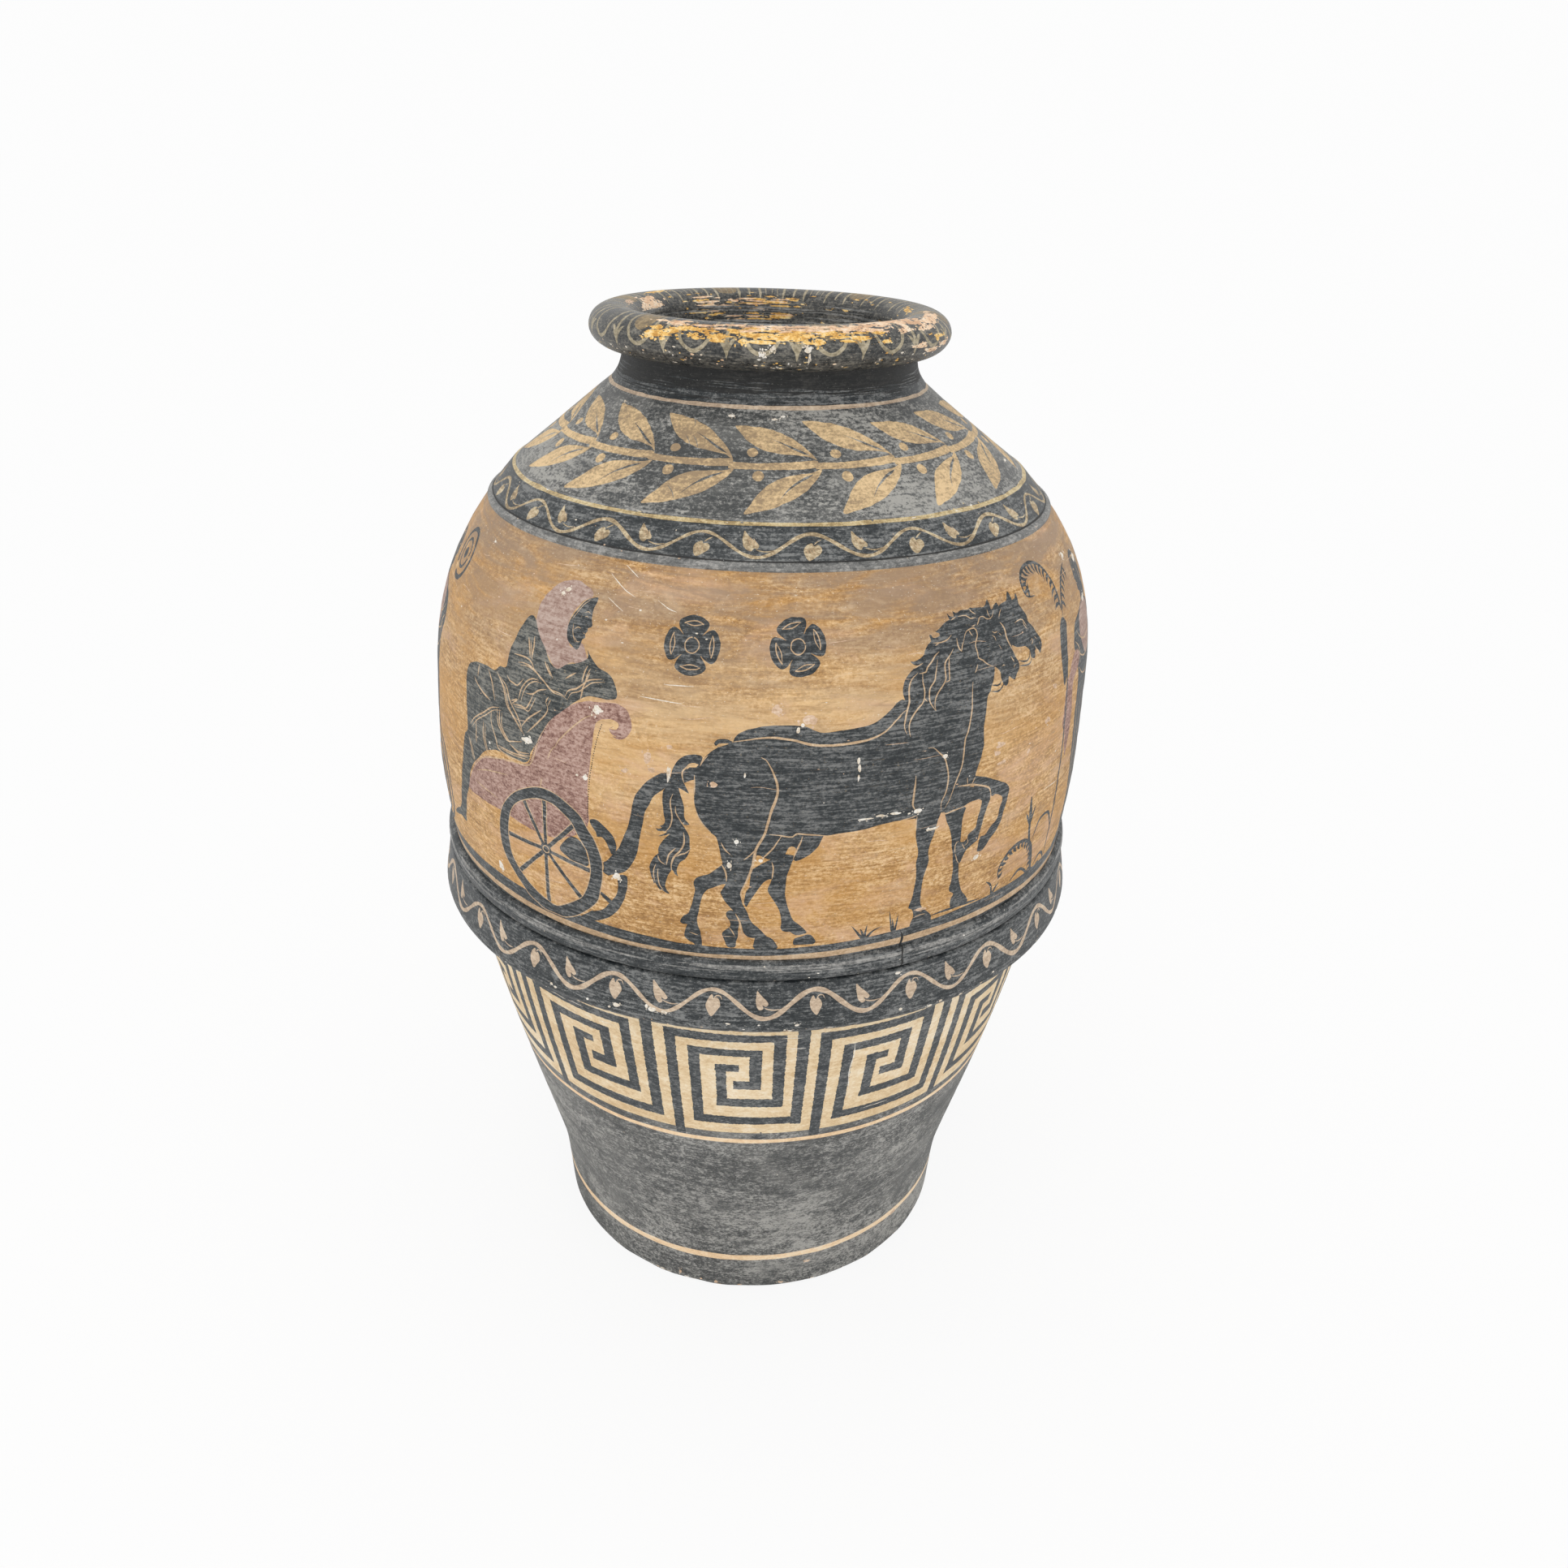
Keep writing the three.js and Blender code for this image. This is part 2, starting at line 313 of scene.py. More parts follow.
class Painter:
    """Collects the painted outlines of one band, in painter's order."""

    SWELL = 0.16
    TIP = 0.25
    BIG_CHIP = 2.4
    CHIP_STEP = 0.55
    STRIPE_POINTS = 360
    STRIPE_KNOTS = 90

    def __init__(self, band, seed):
        self.curve = CURVES[band]
        self.shapes = []
        self.rng = random.Random(seed)

    def add(self, points, paint):
        self.shapes.append((np.array(points, float), paint))

    def blob(self, points, paint, dx=0.0, dv=0.0, hand=0.3, step=LINE_STEP):
        """A closed brushed area with a slightly uneven edge."""
        p = smooth(points, True, step)
        ahead = np.roll(p, -1, axis=0) - np.roll(p, 1, axis=0)
        size = np.maximum(np.hypot(*ahead.T), 1e-6)
        side = np.stack([ahead[:, 1] / size, -ahead[:, 0] / size], 1)
        p = p + side * (hand * wander(len(p), self.rng, 2.2))[:, None]
        self.add(p + (dx, dv), paint)

    def blobs(self, many, paint, dx=0.0, hand=0.3):
        """Several brushed areas."""
        for points in many:
            self.blob(points, paint, dx, 0, hand=hand)

    def straight(self, corners, paint, dx=0.0, dv=0.0, hand=0.4, step=2.4):
        """A closed area with straight sides and bristle-ragged edges."""
        out = []
        for i, a in enumerate(corners):
            a, b = np.array(a, float), np.array(corners[(i + 1) % len(corners)], float)
            length = np.hypot(*(b - a))
            count = max(1, int(length / step))
            side = np.array([b[1] - a[1], a[0] - b[0]]) / max(length, 1e-6)
            for k in range(count):
                push = 0 if k == 0 else self.rng.uniform(-hand, hand)
                out.append(a + (b - a) * k / count + side * push)
        self.add(np.array(out) + (dx, dv), paint)

    def line(self, points, width, paint, dx=0.0, dv=0.0, taper=(0.25, 0.25), hand=0.12):
        """A brushed or scratched line; width is one number, or one for each point."""
        widths = [width] * len(points) if isinstance(width, (int, float)) else width
        p = smooth([(x, v, w) for (x, v), w in zip(points, widths)], False)
        n = len(p)
        if n < 3:
            p = np.array([p[0], (p[0] + p[-1]) / 2, p[-1]])
            n = 3
        w = p[:, 2] + self.SWELL * np.minimum(p[:, 2], 3) * wander(n, self.rng, 2.0)
        t = np.linspace(0, 1, n)
        for near, share in ((t, taper[0]), (1 - t, taper[1])):
            if share > 0:
                w = w * np.clip(self.TIP + (1 - self.TIP) * near / share, 0, 1)
        ahead = np.gradient(p[:, :2], axis=0)
        size = np.maximum(np.hypot(*ahead.T), 1e-6)
        side = np.stack([-ahead[:, 1] / size, ahead[:, 0] / size], 1)
        middle = p[:, :2] + side * (hand * wander(n, self.rng, 1.6))[:, None]
        left = middle + side * w[:, None] / 2
        right = middle - side * w[:, None] / 2
        self.add(np.concatenate([left, right[::-1]]) + (dx, dv), paint)

    def lines(self, many, width, paint, dx=0.0, dv=0.0):
        """Several lines of one width."""
        for points in many:
            self.line(points, width, paint, dx, dv)

    def dot(self, x, v, wide, high, paint, hand=0.3):
        """A small rounded mark."""
        count = 9
        ring = []
        for i in range(count):
            a = 2 * math.pi * i / count
            px = x + wide * math.cos(a) * self.rng.uniform(1 - hand, 1 + hand * 0.4)
            pv = v + high * math.sin(a) * self.rng.uniform(1 - hand, 1 + hand * 0.4)
            ring.append((px, pv))
        self.blob(ring, paint, hand=0.0, step=1.2)

    def chip(self, x, v, wide, high, paint="chip"):
        """A broken flake with a ragged edge, and crumbs beside a big one."""
        count = min(44, max(7, int((wide + high) / self.CHIP_STEP)))
        edge = 0.8 + 0.3 * wander(count, self.rng, max(1.3, count / 9))
        ring = []
        for i in range(count):
            a = 2 * math.pi * i / count
            k = edge[i] + self.rng.uniform(-0.1, 0.1)
            ring.append((x + wide * k * math.cos(a), v + high * k * math.sin(a)))
        self.add(ring, paint)
        if wide > self.BIG_CHIP:
            for _ in range(self.rng.randint(2, 5)):
                a = self.rng.uniform(0, 2 * math.pi)
                far = self.rng.uniform(1.05, 1.5)
                crumb_wide = min(2.2, wide * self.rng.uniform(0.08, 0.25))
                crumb_high = min(1.6, high * self.rng.uniform(0.15, 0.4))
                crumb_x = x + wide * far * math.cos(a)
                crumb_v = v + high * far * math.sin(a)
                self.chip(crumb_x, crumb_v, crumb_wide, crumb_high, paint)

    def chips(self, many, paint="chip", dx=0.0):
        """Chips at given places: x, v, half width and half height."""
        for x, v, wide, high in many:
            self.chip(x + dx, v, wide, high, paint)

    def scatter(self, count, x_range, level, wide, high, paints="chip"):
        """Small chips at random; level is a range or a function that draws one."""
        for _ in range(count):
            x = self.rng.uniform(*x_range)
            v = level() if callable(level) else self.rng.uniform(*level)
            size = (self.rng.uniform(*wide), self.rng.uniform(*high))
            paint = paints if isinstance(paints, str) else self.rng.choice(paints)
            self.chip(x, v, *size, paint)

    def stripe(self, low, high, paint, hand=0.35, waves=1.0):
        """A line or band that runs all the way round, closed on itself."""
        half = self.curve.width / 2
        x = np.linspace(-half, half, self.STRIPE_POINTS + 1)
        steps = range(self.STRIPE_KNOTS + 1)
        sides = []
        for level in (low, high):
            knots = [self.rng.uniform(-1, 1) for _ in steps]
            knots[-1] = knots[0]
            fine = np.interp(np.linspace(0, self.STRIPE_KNOTS, self.STRIPE_POINTS + 1), steps, knots)
            sway = waves * np.sin(2 * math.pi * x / self.curve.width * 3 + 0.7)
            sides.append(level + hand * fine + sway)
        x = np.concatenate([[-half - 4], x, [half + 4]])
        low_side, high_side = (np.concatenate([side[:1], side, side[:1]]) for side in sides)
        self.add(np.concatenate([np.stack([x, low_side], 1), np.stack([x, high_side], 1)[::-1]]), paint)

    def repeats(self, count, start):
        """Number and place of each repeat of a pattern that runs round the jar count times."""
        pitch = self.curve.width / count
        for k in range(count):
            x = start + k * pitch
            yield k, x - self.curve.width * (x > self.curve.width / 2)


def winding(outline, points):
    """Winding number of a closed outline round each point."""
    x, y = points.T
    total = np.zeros(len(points), int)
    for (x0, y0), (x1, y1) in zip(outline, np.roll(outline, -1, axis=0)):
        if y0 == y1:
            continue
        cross = (x1 - x0) * (y - y0) - (x - x0) * (y1 - y0)
        total += ((y0 <= y) & (y1 > y) & (cross > 0)).astype(int)
        total -= ((y1 <= y) & (y0 > y) & (cross < 0)).astype(int)
    return total


def doubled_area(a, b, c):
    """Twice the signed area of flat triangles."""
    return (b[:, 0] - a[:, 0]) * (c[:, 1] - a[:, 1]) - (b[:, 1] - a[:, 1]) * (c[:, 0] - a[:, 0])


def cut_band(painter, rows, splits, columns, ground):
    """Cuts a band's flat strip along its outlines: points, triangles, and the paint on each triangle.

    The strip is also cut at the given rows and columns, where pieces end and texture rows begin."""
    width = painter.curve.width
    half = width / 2
    xs = np.linspace(-half, half, COLUMNS + 1)
    low, high = rows[0], rows[-1]
    points = [Vector((x, v)) for v in rows for x in xs]
    edges = []
    stride = COLUMNS + 1
    for j, v in enumerate(rows):
        if v in (low, high) or v in splits:
            edges += [(j * stride + i, j * stride + i + 1) for i in range(COLUMNS)]
    for i in columns:
        edges += [(j * stride + i, (j + 1) * stride + i) for j in range(len(rows) - 1)]
    placed = []
    for outline, paint in painter.shapes:
        shifts = (-width, 0, width) if np.ptp(outline[:, 0]) < half else (0,)
        for one in (outline + (shift, 0) for shift in shifts):
            if one[:, 0].min() >= half or one[:, 0].max() <= -half:
                continue
            start = len(points)
            points += [Vector(p) for p in one]
            edges += [(start + i, start + (i + 1) % len(one)) for i in range(len(one))]
            placed.append((one, paint))
    flat, _, faces, *_ = delaunay_2d_cdt(points, edges, [], 0, CUT_WELD, False)
    flat = np.array([v[:] for v in flat])
    faces = np.array([f[:3] for f in faces])
    middle = flat[faces].mean(1)
    inside = (np.abs(middle[:, 0]) < half) & (middle[:, 1] > low) & (middle[:, 1] < high)
    inside &= np.abs(doubled_area(*(flat[faces[:, k]] for k in range(3)))) > SLIVER_AREA
    faces, middle = faces[inside], middle[inside]
    paint_on = np.zeros(len(faces), int)
    names = [ground]
    order = np.argsort(middle[:, 0])
    sorted_x = middle[order, 0]
    for outline, paint in placed:
        if paint not in names:
            names.append(paint)
        first, last = np.searchsorted(sorted_x, (outline[:, 0].min(), outline[:, 0].max()))
        near = order[first:last]
        v = middle[near, 1]
        near = near[(v >= outline[:, 1].min()) & (v <= outline[:, 1].max())]
        if len(near):
            paint_on[near[winding(outline, middle[near]) != 0]] = names.index(paint)
    return flat, faces, paint_on, names


def surface(curve, x, v):
    """Places on the jar, in millimetres, for places on a band's strip."""
    theta = x / curve.reference
    r, z = curve.at(v)
    r = r - sag(theta, z) + settle(theta, z)
    return np.stack([r * np.sin(theta), -r * np.cos(theta), z], 1)


def surface_normals(curve, flat):
    """Normals of the wrapped surface, from small steps across and along the band."""
    x, v = flat.T
    across = surface(curve, x + NORMAL_STEP, v) - surface(curve, x - NORMAL_STEP, v)
    top = np.minimum(v + NORMAL_STEP, curve.v[-1])
    bottom = np.maximum(v - NORMAL_STEP, curve.v[0])
    normals = np.cross(across, surface(curve, x, top) - surface(curve, x, bottom))
    normals /= np.maximum(np.linalg.norm(normals, axis=1), 1e-9)[:, None]
    return normals


def close_seam(flat, half):
    """For each point of a band, the point that it becomes when the band is wrapped round."""
    starts = np.where(np.abs(flat[:, 0] + half) < TOUCH)[0]
    same = np.arange(len(flat))
    for i in np.where(np.abs(flat[:, 0] - half) < TOUCH)[0]:
        twin = starts[np.argmin(np.abs(flat[starts, 1] - flat[i, 1]))]
        if abs(flat[twin, 1] - flat[i, 1]) < SEAM_LEVEL:
            same[i] = twin
    return same


def strips(width, low, high):
    """How many rows the flat texture of a band is cut into; always a divisor of the columns."""
    wish = math.sqrt(width / (high - low) * 0.8)
    return min((d for d in range(1, COLUMNS) if COLUMNS % d == 0), key=lambda d: abs(math.log(d / wish)))


def closed_ring(ring):
    """A ring of angles and points, with its first point again a full turn on; a lone point stays alone."""
    angle, point = ring[0]
    return ring + [(angle + 2 * math.pi, point)] if len(ring) > 1 else ring


def stitch(above, below, first, second):
    """Triangles between two rings; each corner is a point, its angle and its place in the texture."""
    above, below = closed_ring(above), closed_ring(below)
    i = j = 0
    while i + 1 < len(above) or j + 1 < len(below):
        next_a = above[i + 1] if i + 1 < len(above) else (math.inf, None)
        next_b = below[j + 1] if j + 1 < len(below) else (math.inf, None)
        corners = [(above[i][1], above[i][0], first), (below[j][1], below[j][0], second)]
        if next_a[0] <= next_b[0]:
            corners.append((next_a[1], next_a[0], first))
            i += 1
        else:
            corners.append((next_b[1], next_b[0], second))
            j += 1
        yield corners


class Skin:
    """The growing mesh of one ring: points, painted triangles, and normals and texture places by corner."""

    def __init__(self, places):
        self.verts = [tuple(p) for p in places]
        self.polygons = []
        self.paints = []
        self.normals = []
        self.uvs = []

    def add_painted(self, flat, faces, paint_on, same, curve, low, high):
        """The painted outside, with its texture cut into rows."""
        normals = surface_normals(curve, flat)
        half = curve.width / 2
        rows = strips(curve.width, low, high)
        span = curve.width / rows
        row_height = (1 - SHELL_SHARE) / rows
        turned = doubled_area(*(flat[faces[:, k]] for k in range(3))) < 0
        for face, flip, paint in zip(faces, turned, paint_on):
            corners = face[::-1] if flip else face
            row = min(rows - 1, int((flat[corners, 0].mean() + half) / span))
            self.polygons.append([int(same[c]) for c in corners])
            self.paints.append(int(paint))
            for c in corners:
                self.normals.append(tuple(normals[c]))
                u = (flat[c, 0] + half - row * span) / span
                t = (flat[c, 1] - low) / (high - low)
                self.uvs.append((0.006 + 0.988 * u, SHELL_SHARE + row_height * (row + 0.01 + 0.98 * t)))

    def shell_ring(self, r, z, snug):
        """A ring of new points inside the wall, which it follows if snug; else it has throwing ripples."""
        alone = r <= LONE_RADIUS
        ring = []
        for k in range(1 if alone else INNER_COLUMNS):
            angle = 2 * math.pi * k / INNER_COLUMNS - math.pi
            ripple = 0.5 + 0.3 * math.sin(0.42 * z + angle) + 0.2 * math.sin(0.9 * z + 2 * angle)
            deep = r - sag(angle, z) if snug else r + (0 if alone else RIPPLE * ripple)
            ring.append((angle, len(self.verts)))
            self.verts.append((deep * math.sin(angle), -deep * math.cos(angle), z))
        return ring

    def add_shell(self, rings, profile, paint):
        """The unpainted surfaces, from the painted outside's top edge round to its bottom edge."""
        facing = []
        for (r0, z0), (r1, z1) in zip(profile, profile[1:]):
            size = max(math.hypot(r1 - r0, z1 - z0), 1e-6)
            facing.append(((z1 - z0) / size, (r0 - r1) / size))
        last = len(facing) - 1
        for number, (above, below) in enumerate(zip(rings, rings[1:])):
            own_out, own_up = facing[number]
            blends = []
            for out, up in (facing[max(number - 1, 0)], facing[min(number + 1, last)]):
                same_way = own_out * out + own_up * up > SMOOTH_BEND
                blends.append((own_out + out, own_up + up) if same_way else (own_out, own_up))
            first, second = (SHELL_MARGIN + SHELL_SPAN * k / (last + 1) for k in (number, number + 1))
            for tri in stitch(above, below, first, second):
                if len({point for point, _, _ in tri}) < 3:
                    continue
                p0, p1, p2 = (np.array(self.verts[point]) for point, _, _ in tri)
                normal = np.cross(p1 - p0, p2 - p0)
                if np.linalg.norm(normal) < SLIVER_AREA:
                    continue
                mean = sum(angle for _, angle, _ in tri) / 3
                across = normal[0] * own_out * math.sin(mean) - normal[1] * own_out * math.cos(mean)
                if across + normal[2] * own_up < 0:
                    tri = tri[::-1]
                self.polygons.append([point for point, _, _ in tri])
                self.paints.append(paint)
                for _, angle, place in tri:
                    out, up = blends[0] if place == first else blends[1]
                    self.normals.append((out * math.sin(angle), -out * math.cos(angle), up))
                    u = min(max((angle + math.pi) / (2 * math.pi), 0), 1)
                    self.uvs.append((u * 0.98 + 0.01, place))

    def make(self, name, paints):
        """The finished object."""
        used, index = np.unique(np.array(self.polygons), return_inverse=True)
        polygons = index.reshape(-1, 3).tolist()
        mesh = bpy.data.meshes.new(name)
        mesh.from_pydata([tuple(a * MM for a in self.verts[i]) for i in used], [], polygons)
        uv = mesh.uv_layers.new(name="OFBake")
        uv.data.foreach_set("uv", np.array(self.uvs, np.float32).ravel())
        for paint in paints:
            mesh.materials.append(material(paint))
        mesh.polygons.foreach_set("material_index", self.paints)
        mesh.polygons.foreach_set("use_smooth", [True] * len(polygons))
        mesh.normals_split_custom_set(self.normals)
        obj = bpy.data.objects.new(name, mesh)
        bpy.context.scene.collection.objects.link(obj)
        return obj


def ring_piece(name, curve, band, low, high, shell, snug):
    """One closed thrown ring: its painted outside, and a shell from its top edge to its bottom edge."""
    flat, faces, paint_on, paints = band
    middle = flat[faces][:, :, 1].mean(1)
    chosen = (middle > low) & (middle < high)
    used, index = np.unique(faces[chosen], return_inverse=True)
    flat = flat[used]
    same = close_seam(flat, curve.width / 2)
    skin = Skin(surface(curve, *flat.T))
    skin.add_painted(flat, index.reshape(-1, 3), paint_on[chosen], same, curve, low, high)

    def border(level):
        edge = [int(i) for i in np.where(np.abs(flat[:, 1] - level) < TOUCH)[0] if same[i] == i]
        return sorted(((flat[i, 0] / curve.reference, i) for i in edge))

    rings = [border(high), *(skin.shell_ring(r, z, snug) for r, z in shell), border(low)]
    ends = [tuple(float(a) for a in curve.at(level)) for level in (high, low)]
    paints = paints if "inside" in paints else paints + ["inside"]
    skin.add_shell(rings, [ends[0], *shell, ends[1]], paints.index("inside"))
    return skin.make(name, paints)


# Paints: dark, middle and pale tone, roughness, how far drift, mottling, streaks and grit move the tone,
# specks with their share and level, worn-through clay with its level, and relief
CLAY = (0.78, 0.60, 0.42)
DUST = (0.62, 0.60, 0.55)
PAINTS = {
    "slip": ((0.016, 0.021, 0.024), (0.057, 0.063, 0.066), (0.22, 0.225, 0.222), 0.5,
        (0.6, 0.8, 1.7, 1.3), (DUST, 0.5, 0.665), (CLAY, 0.75), 0.6),
    "slip_worn": ((0.065, 0.067, 0.066), (0.182, 0.183, 0.176), (0.42, 0.41, 0.385), 0.6,
        (1.1, 1.4, 1.0, 1.9), (DUST, 0.5, 0.66), (CLAY, 0.76), 0.7),
    "slip_meander": ((0.026, 0.033, 0.038), (0.072, 0.079, 0.084), (0.22, 0.225, 0.222), 0.58,
        (0.6, 1.0, 1.0, 1.4), (DUST, 0.4, 0.68), (CLAY, 0.77), 0.5),
    "figure": ((0.014, 0.019, 0.022), (0.052, 0.058, 0.061), (0.2, 0.203, 0.2), 0.55,
        (0.4, 0.5, 1.9, 1.2), ((0.5, 0.36, 0.2), 0.4, 0.665), (CLAY, 0.77), 0.5),
    "ochre": ((0.33, 0.165, 0.048), (0.575, 0.325, 0.118), (0.86, 0.6, 0.33), 0.62,
        (0.6, 0.7, 1.4, 1.3), ((0.9, 0.8, 0.64), 0.6, 0.66), ((0.88, 0.72, 0.55), 0.76), 0.6),
    "tan": ((0.4, 0.27, 0.16), (0.58, 0.4, 0.24), (0.76, 0.58, 0.4), 0.65,
        (0.4, 1, 0.8, 1), ((0.3, 0.22, 0.15), 0.5, 0.66), (CLAY, 0.78), 0.4),
    "cream": ((0.71, 0.5, 0.27), (0.87, 0.68, 0.43), (0.97, 0.84, 0.64), 0.66,
        (0.8, 1.0, 0.5, 0.8), ((0.55, 0.38, 0.22), 0.5, 0.66), ((0.6, 0.44, 0.28), 0.76), 0.5),
    "leaf": ((0.36, 0.255, 0.15), (0.6, 0.43, 0.235), (0.82, 0.6, 0.34), 0.62,
        (1.0, 1.2, 0.9, 1.5), ((0.25, 0.2, 0.14), 0.45, 0.655), ((0.8, 0.66, 0.5), 0.76), 0.5),
    "vine": ((0.25, 0.18, 0.1), (0.46, 0.35, 0.21), (0.7, 0.59, 0.4), 0.62,
        (0.6, 1.2, 0.9, 1.5), ((0.15, 0.14, 0.12), 0.5, 0.65), (CLAY, 0.77), 0.4),
    "vine_pale": ((0.42, 0.31, 0.22), (0.6, 0.46, 0.33), (0.76, 0.62, 0.47), 0.62,
        (0.4, 1, 0.8, 1.1), ((0.2, 0.17, 0.14), 0.45, 0.66), (CLAY, 0.77), 0.4),
    "maroon": ((0.19, 0.09, 0.07), (0.38, 0.225, 0.18), (0.56, 0.385, 0.325), 0.66,
        (0.6, 0.9, 0.9, 1.7), ((0.55, 0.42, 0.34), 0.4, 0.665), (CLAY, 0.77), 0.5),
    "mauve": ((0.28, 0.17, 0.135), (0.42, 0.285, 0.235), (0.56, 0.43, 0.37), 0.68,
        (0.6, 1, 1.2, 1.2), ((0.7, 0.58, 0.5), 0.5, 0.655), (CLAY, 0.76), 0.5),
    "stripe": ((0.8, 0.54, 0.31), (0.98, 0.72, 0.46), (1, 0.86, 0.66), 0.65,
        (0.7, 0.8, 0.6, 0.8), ((0.3, 0.24, 0.18), 0.5, 0.66), ((0.2, 0.19, 0.17), 0.76), 0.5),
    "robe": ((0.022, 0.028, 0.03), (0.08, 0.086, 0.083), (0.24, 0.235, 0.21), 0.6,
        (0.6, 0.8, 1.8, 1.2), ((0.5, 0.38, 0.22), 0.5, 0.65), (CLAY, 0.765), 0.5),
    "slip_cone": ((0.055, 0.058, 0.058), (0.157, 0.159, 0.153), (0.41, 0.4, 0.37), 0.52,
        (1.0, 0.9, 1.4, 2.0), (DUST, 0.5, 0.66), (CLAY, 0.75), 0.7),
    # The neck's near-black ground: painted shade under the rim
    "neck": ((0.01, 0.011, 0.011), (0.022, 0.023, 0.023), (0.06, 0.059, 0.056), 0.6,
        (0.4, 0.7, 1.6, 1.1), (DUST, 0.3, 0.68), (CLAY, 0.79), 0.5),
    "chip": ((0.66, 0.54, 0.4), (0.87, 0.79, 0.67), (0.95, 0.92, 0.86), 0.8,
        (0.3, 1.6, 0.3, 1.4), ((0.5, 0.4, 0.3), 0.5, 0.66), ((0.6, 0.45, 0.3), 0.75), 0.9),
    "bare": ((0.54, 0.36, 0.22), (0.73, 0.51, 0.35), (0.86, 0.68, 0.53), 0.78,
        (0.4, 1.3, 0.6, 1.3), ((0.4, 0.28, 0.18), 0.4, 0.66), (CLAY, 0.76), 0.8),
    # Grey for the ivy bead, scratches and chips, and as painted highlights on the roll, the shoulder ridge
    # and inside the mouth
    "grey": ((0.1, 0.102, 0.1), (0.2, 0.2, 0.193), (0.4, 0.39, 0.37), 0.5,
        (0.4, 0.8, 1.3, 1.2), ((0.7, 0.66, 0.58), 0.5, 0.655), (CLAY, 0.76), 0.5),
    "gold": ((0.34, 0.24, 0.11), (0.58, 0.44, 0.22), (0.76, 0.64, 0.4), 0.5,
        (0.3, 1.2, 1.2, 1.2), ((0.1, 0.09, 0.08), 0.6, 0.64), ((0.1, 0.1, 0.095), 0.72), 0.5),
    "orange": ((0.6, 0.3, 0.06), (0.95, 0.58, 0.16), (1, 0.8, 0.45), 0.6,
        (0.8, 1.3, 0.9, 1.3), ((0.1, 0.085, 0.07), 0.6, 0.65), ((0.09, 0.085, 0.075), 0.755), 0.7),
    "peach": ((0.7, 0.42, 0.24), (0.95, 0.67, 0.44), (1, 0.86, 0.68), 0.66,
        (0.8, 1.3, 0.9, 1.2), ((0.12, 0.1, 0.09), 0.6, 0.65), ((0.09, 0.085, 0.075), 0.76), 0.7),
    "rim": ((0.022, 0.024, 0.025), (0.057, 0.058, 0.056), (0.2, 0.19, 0.165), 0.36,
        (0.4, 1.1, 1.2, 1.3), ((0.6, 0.5, 0.36), 0.6, 0.65), ((0.8, 0.5, 0.17), 0.715), 0.6),
    "rim_line": ((0.22, 0.185, 0.12), (0.37, 0.315, 0.21), (0.54, 0.47, 0.34), 0.5,
        (0.4, 1.4, 0.8, 1.3), ((0.12, 0.11, 0.09), 0.6, 0.645), (CLAY, 0.77), 0.5),
    "rim_wash": ((0.12, 0.09, 0.05), (0.24, 0.175, 0.095), (0.4, 0.3, 0.17), 0.45,
        (0.5, 1.4, 0.9, 1.2), ((0.06, 0.055, 0.05), 0.7, 0.63), ((0.8, 0.5, 0.17), 0.73), 0.6),
    "inside": ((0.075, 0.073, 0.068), (0.215, 0.206, 0.19), (0.52, 0.49, 0.44), 0.4,
        (0.6, 1.2, 1.6, 1.4), ((0.7, 0.42, 0.12), 0.6, 0.66), ((0.75, 0.42, 0.1), 0.73), 0.8),
    # Near-black for cracks and stitch dots, and as painted shade in the groove above the ivy band's bead
    "dark_and_shade": ((0.012, 0.012, 0.012), (0.022, 0.022, 0.021), (0.045, 0.044, 0.042), 0.6,
        (0.3, 0.9, 0.8, 0.8), (DUST, 0.2, 0.68), (CLAY, 0.8), 0.5),
}
MADE = {}


class Nodes:
    """A cleared node tree, with short ways to add the nodes that the paints share."""

    def __init__(self, owner):
        owner.use_nodes = True
        self.nodes = owner.node_tree.nodes
        self.nodes.clear()
        self.link = owner.node_tree.links.new

    def new(self, kind):
        """A new shader node."""
        return self.nodes.new("ShaderNode" + kind)

    def set(self, node, **values):
        """Default values of a node's named sockets."""
        for key, value in values.items():
            node.inputs[key.replace("_", " ")].default_value = value
        return node

    def noise(self, place, scale, detail, rough=0.55, warp=0.0):
        """Noise that is stretched by a scale for each axis."""
        mapping = self.set(self.new("Mapping"), Scale=scale)
        self.link(place, mapping.inputs["Vector"])
        node = self.set(self.new("TexNoise"), Scale=1.0, Detail=detail, Roughness=rough, Distortion=warp)
        self.link(mapping.outputs["Vector"], node.inputs["Vector"])
        return node.outputs["Fac"]

    def add(self, value, factor, extra):
        """value times factor, plus a number or another value."""
        node = self.new("Math")
        node.operation = "MULTIPLY_ADD"
        self.link(value, node.inputs[0])
        node.inputs[1].default_value = factor
        if isinstance(extra, (int, float)):
            node.inputs[2].default_value = extra
        else:
            self.link(extra, node.inputs[2])
        return node.outputs[0]

    def times(self, a, b):
        """The product of two values."""
        node = self.new("Math")
        node.operation = "MULTIPLY"
        self.link(a, node.inputs[0])
        self.link(b, node.inputs[1])
        return node.outputs[0]

    def band(self, value, low, high, to_low=0.0, to_high=1.0):
        """A value spread from one range to another, and held at its ends."""
        node = self.new("MapRange")
        self.link(value, node.inputs["Value"])
        self.set(node, From_Min=low, From_Max=high, To_Min=to_low, To_Max=to_high)
        return node.outputs["Result"]

    def mix(self, factor, colour_a, colour_b):
        """A colour with a plain one over it, as far as the factor says."""
        node = self.new("Mix")
        node.data_type = "RGBA"
        self.link(factor, node.inputs["Factor"])
        self.link(colour_a, node.inputs["A"])
        node.inputs["B"].default_value = (*colour_b, 1)
        return node.outputs["Result"]


